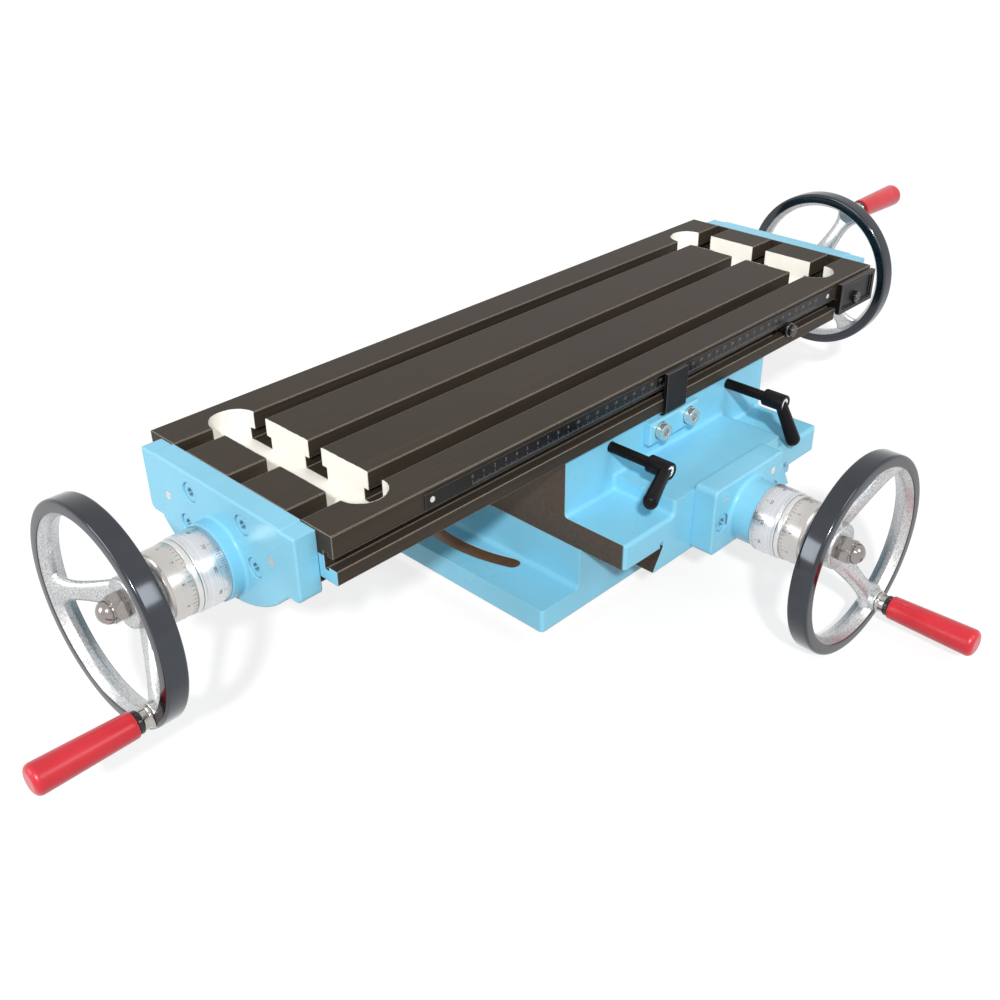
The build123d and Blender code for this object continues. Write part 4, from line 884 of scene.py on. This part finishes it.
lever_face, arm_length, arm_forward = -148.0, 31.0, -11.0


def inward(start):
    """A turned piece's directions on the clamp's axis: from the start towards the table."""
    return {"start": start, "way": np.array([0, 1.0, 0]), "handle": np.array([1.0, 0, 0]),
            "across": np.array([0, 0, -1.0])}


def lever_sheets(side, way_x, way_z):
    """The lever: a turned hub on the stud, and an arm of oval rings that swell from 5 to 6.2 mm and close
    in a half round tip. The arm runs along (way_x, arm_forward, way_z) from the hub."""
    low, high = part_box("clamp_screw_" + side)
    axis = np.array([(low.x + high.x) / 2, 0, (low.z + high.z) / 2]) / mm
    corners = [(4.45, 2.4), (4.45, 0), (6.5, 0), (6.5, 18), (4.1, 18), (4.1, 9)]
    hub = softened(corners, (0, 0.2, 1.0, 0.6, 0, 0), 3)
    hub = np.concatenate([[(0, 2.4)], hub, [(0, 9)]])
    arm = np.array([way_x, arm_forward, way_z])
    length = np.linalg.norm(arm)
    arm /= length
    flat = np.cross(arm, (0, 1.0, 0))
    flat /= np.linalg.norm(flat)
    deep = np.cross(flat, arm)
    t = np.linspace(0, 1, 15)
    tip = np.linspace(0, np.pi / 2, 9)[1:]
    along = np.concatenate([[0], t * length, length + 5.0 * np.sin(tip)])[:, None]
    swell = np.concatenate([[0], 5.0 + 1.2 * t ** 1.4, 6.2 * np.cos(tip) ** 0.8])[:, None]
    angle = np.linspace(0, 2 * np.pi, 33)[None, :]
    ring = flat * (swell * np.cos(angle))[..., None] + deep * (0.86 * swell * np.sin(angle))[..., None]
    points = (axis + (0, lever_face + 4.6, 0) + arm * along[..., None] + ring) * mm
    arm_sheet = {"points": points, "reach": swell + 0 * angle, "rise": along + 0 * angle}
    return [lathe(inward((axis + (0, lever_face, 0)) * mm), hub, columns=48), arm_sheet]


stud_lead, stud_crest, stud_root = 1.25, 4.0, 3.35


def stud_sheet(side):
    """The stud's thread, from the gib out into the lever's hub."""
    low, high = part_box("clamp_stud_" + side)
    start = np.array([(low.x + high.x) / 2, low.y, (low.z + high.z) / 2])
    return thread_sheet(inward(start), 0.0, (high.y - low.y) / mm, stud_crest, stud_root, stud_lead)


lever_black = turned_material("lever_black", rgb(28, 27, 30), rgb(16, 16, 18), 0.26, 0.1, 0.0, 0.1)
stud_black = turned_material("stud_black", rgb(60, 57, 57), rgb(34, 32, 33), 0.2, 0.1, 0.7, 0.2)
for side, swing in (("left", math.radians(194)), ("right", math.radians(282))):
    sheets = lever_sheets(side, arm_length * math.cos(swing), arm_length * math.sin(swing))
    build("clamp_arm_" + side, sheets, lever_black, "clamp_" + side, "black", "clamp_lever_" + side)
    build("clamp_thread_" + side, [stud_sheet(side)], stud_black, "clamp_" + side, "black",
          "clamp_stud_" + side)


# Scale
# A black anodised strip in the table's front face with white millimetre marks and a number at
# every centimetre, held by a small screw at each end.

scale_black = plain_metal("scale_black", rgb(26, 24, 25), rgb(16, 15, 16), rgb(150, 146, 142), 0.22, 0.2,
                          (6.0, 600.0, 600.0), sheen=0.25)
dress(scale_black, "scale")
white_fill = paint_material("white_fill", rgb(140, 140, 138), rgb(100, 100, 99), 0.5)
scale_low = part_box("scale")[0]
scale_face, scale_zero, scale_length = scale_low.y / mm, scale_low.x / mm + 40, 400


def on_scale(points):
    """Lays flat points on the strip's front: along to the right, up, and proud towards the operator."""
    x, up, proud = points.T
    return np.stack([scale_zero + x, scale_face - proud, scale_low.z / mm + up], 1) * mm


scale_marks = [(i, 1.0, tick(i, 2.6, 3.6, 4.6), 0.13) for i in range(scale_length + 1)]
scale_numbers = [(str(i), i * 10, 7.2) for i in range(scale_length // 10 + 1)]
engraved("scale_figures", scale_marks, scale_numbers, 3.6, on_scale, white_fill, "table")


# Floor, light and camera
# A white floor with a low white plinth under the base, because the front wheel hangs below the
# base's underside, past the edge of whatever the table is bolted to. A sun from the front left gives
# the crisp shadows, two lamps light the front and the left side, and the world gives the soft light.

floor_level = cad_box[0].z - 0.0005
floor_grey, floor_glow, world_light = 0.34, 0.735, 0.33
white = (1, 1, 1, 1)


def plain_ray(tree):
    """1 for a ray straight from the camera, off a mirror or through glass, else 0."""
    ray = put(tree, "LightPath").outputs
    return either(tree, ray["Is Camera Ray"], ray["Is Glossy Ray"], ray["Is Transmission Ray"])


def plain_stage(name, low, high):
    """A white box between two corners. Seen straight or mirrored it also glows, so that it stays white."""
    points = [tuple(np.where([i & 1, i & 2, i & 4], high, low)) for i in range(8)]
    mesh = bpy.data.meshes.new(name)
    mesh.from_pydata(points, [], box_sides)
    thing = bpy.data.objects.new(name, mesh)
    bpy.context.scene.collection.objects.link(thing)
    material = bpy.data.materials.new(name)
    material.use_nodes = True
    tree = material.node_tree
    tree.nodes.clear()
    seen = maths(tree, "MULTIPLY", plain_ray(tree), floor_glow)
    matt = put(tree, "BsdfDiffuse", None, Color=(floor_grey, floor_grey, floor_grey, 1)).outputs[0]
    glow = put(tree, "Emission", None, Color=white, Strength=seen).outputs[0]
    whole = put(tree, "AddShader", None, i0=matt, i1=glow)
    output = put(tree, "OutputMaterial")
    tree.links.new(whole.outputs[0], output.inputs[0])
    mesh.materials.append(material)


plain_stage("floor", (-6, -6, floor_level - 0.02), (6, 6, floor_level))
plain_stage("plinth", (-0.15, -0.1, floor_level), (0.15, 0.1, -0.0002))


def lamp_from(name, kind, place, aim, size, power):
    """A lamp at a place, turned towards a point. A sun's size is its width in degrees."""
    lamp = bpy.data.lights.new(name, kind)
    if kind == "SUN":
        lamp.angle = math.radians(size)
    else:
        lamp.size = size
    lamp.energy = power
    thing = bpy.data.objects.new(name, lamp)
    bpy.context.scene.collection.objects.link(thing)
    thing.location = place
    thing.rotation_euler = (Vector(aim) - Vector(place)).to_track_quat("-Z", "Y").to_euler()


lamp_from("key_light", "SUN", (-1.1, -1.02, 1.24), (0, 0, 0.08), 4, 2.5)
lamp_from("front_light", "AREA", (0.15, -1.6, 1.2), (0, 0, 0.08), 0.6, 5.6)
lamp_from("side_light", "AREA", (-1.5, 0.5, 0.6), (0, 0, 0.08), 0.6, 5.5)

world = bpy.data.worlds.new("studio")
bpy.context.scene.world = world
world.use_nodes = True
tree = world.node_tree
tree.nodes.clear()
seen = put(tree, "Background", None, Color=white, Strength=1.0).outputs[0]
around = put(tree, "Background", None, Color=white, Strength=world_light).outputs[0]
mix = put(tree, "MixShader", None, i0=plain_ray(tree), i1=around, i2=seen).outputs[0]
output = put(tree, "OutputWorld")
tree.links.new(mix, output.inputs[0])

camera = bpy.data.cameras.new("camera")
focal_pixels, photo_width, camera_roll = 1175.6, 1000, math.radians(-0.83)
camera.sensor_width = 36
camera.lens = camera.sensor_width * focal_pixels / photo_width
camera.clip_start = 0.01
camera.clip_end = 50
viewer = bpy.data.objects.new("camera", camera)
bpy.context.scene.collection.objects.link(viewer)
viewer.location = (-0.6482, -0.5556, 0.5105)
ahead = Vector((0.6073, 0.6026, -0.5177))
turn = ahead.to_track_quat("-Z", "Y")
roll = Matrix.Rotation(camera_roll, 4, "Z")
viewer.matrix_world = Matrix.Translation(viewer.location) @ turn.to_matrix().to_4x4() @ roll
bpy.context.scene.camera = viewer
bpy.context.scene.view_settings.view_transform = "Standard"
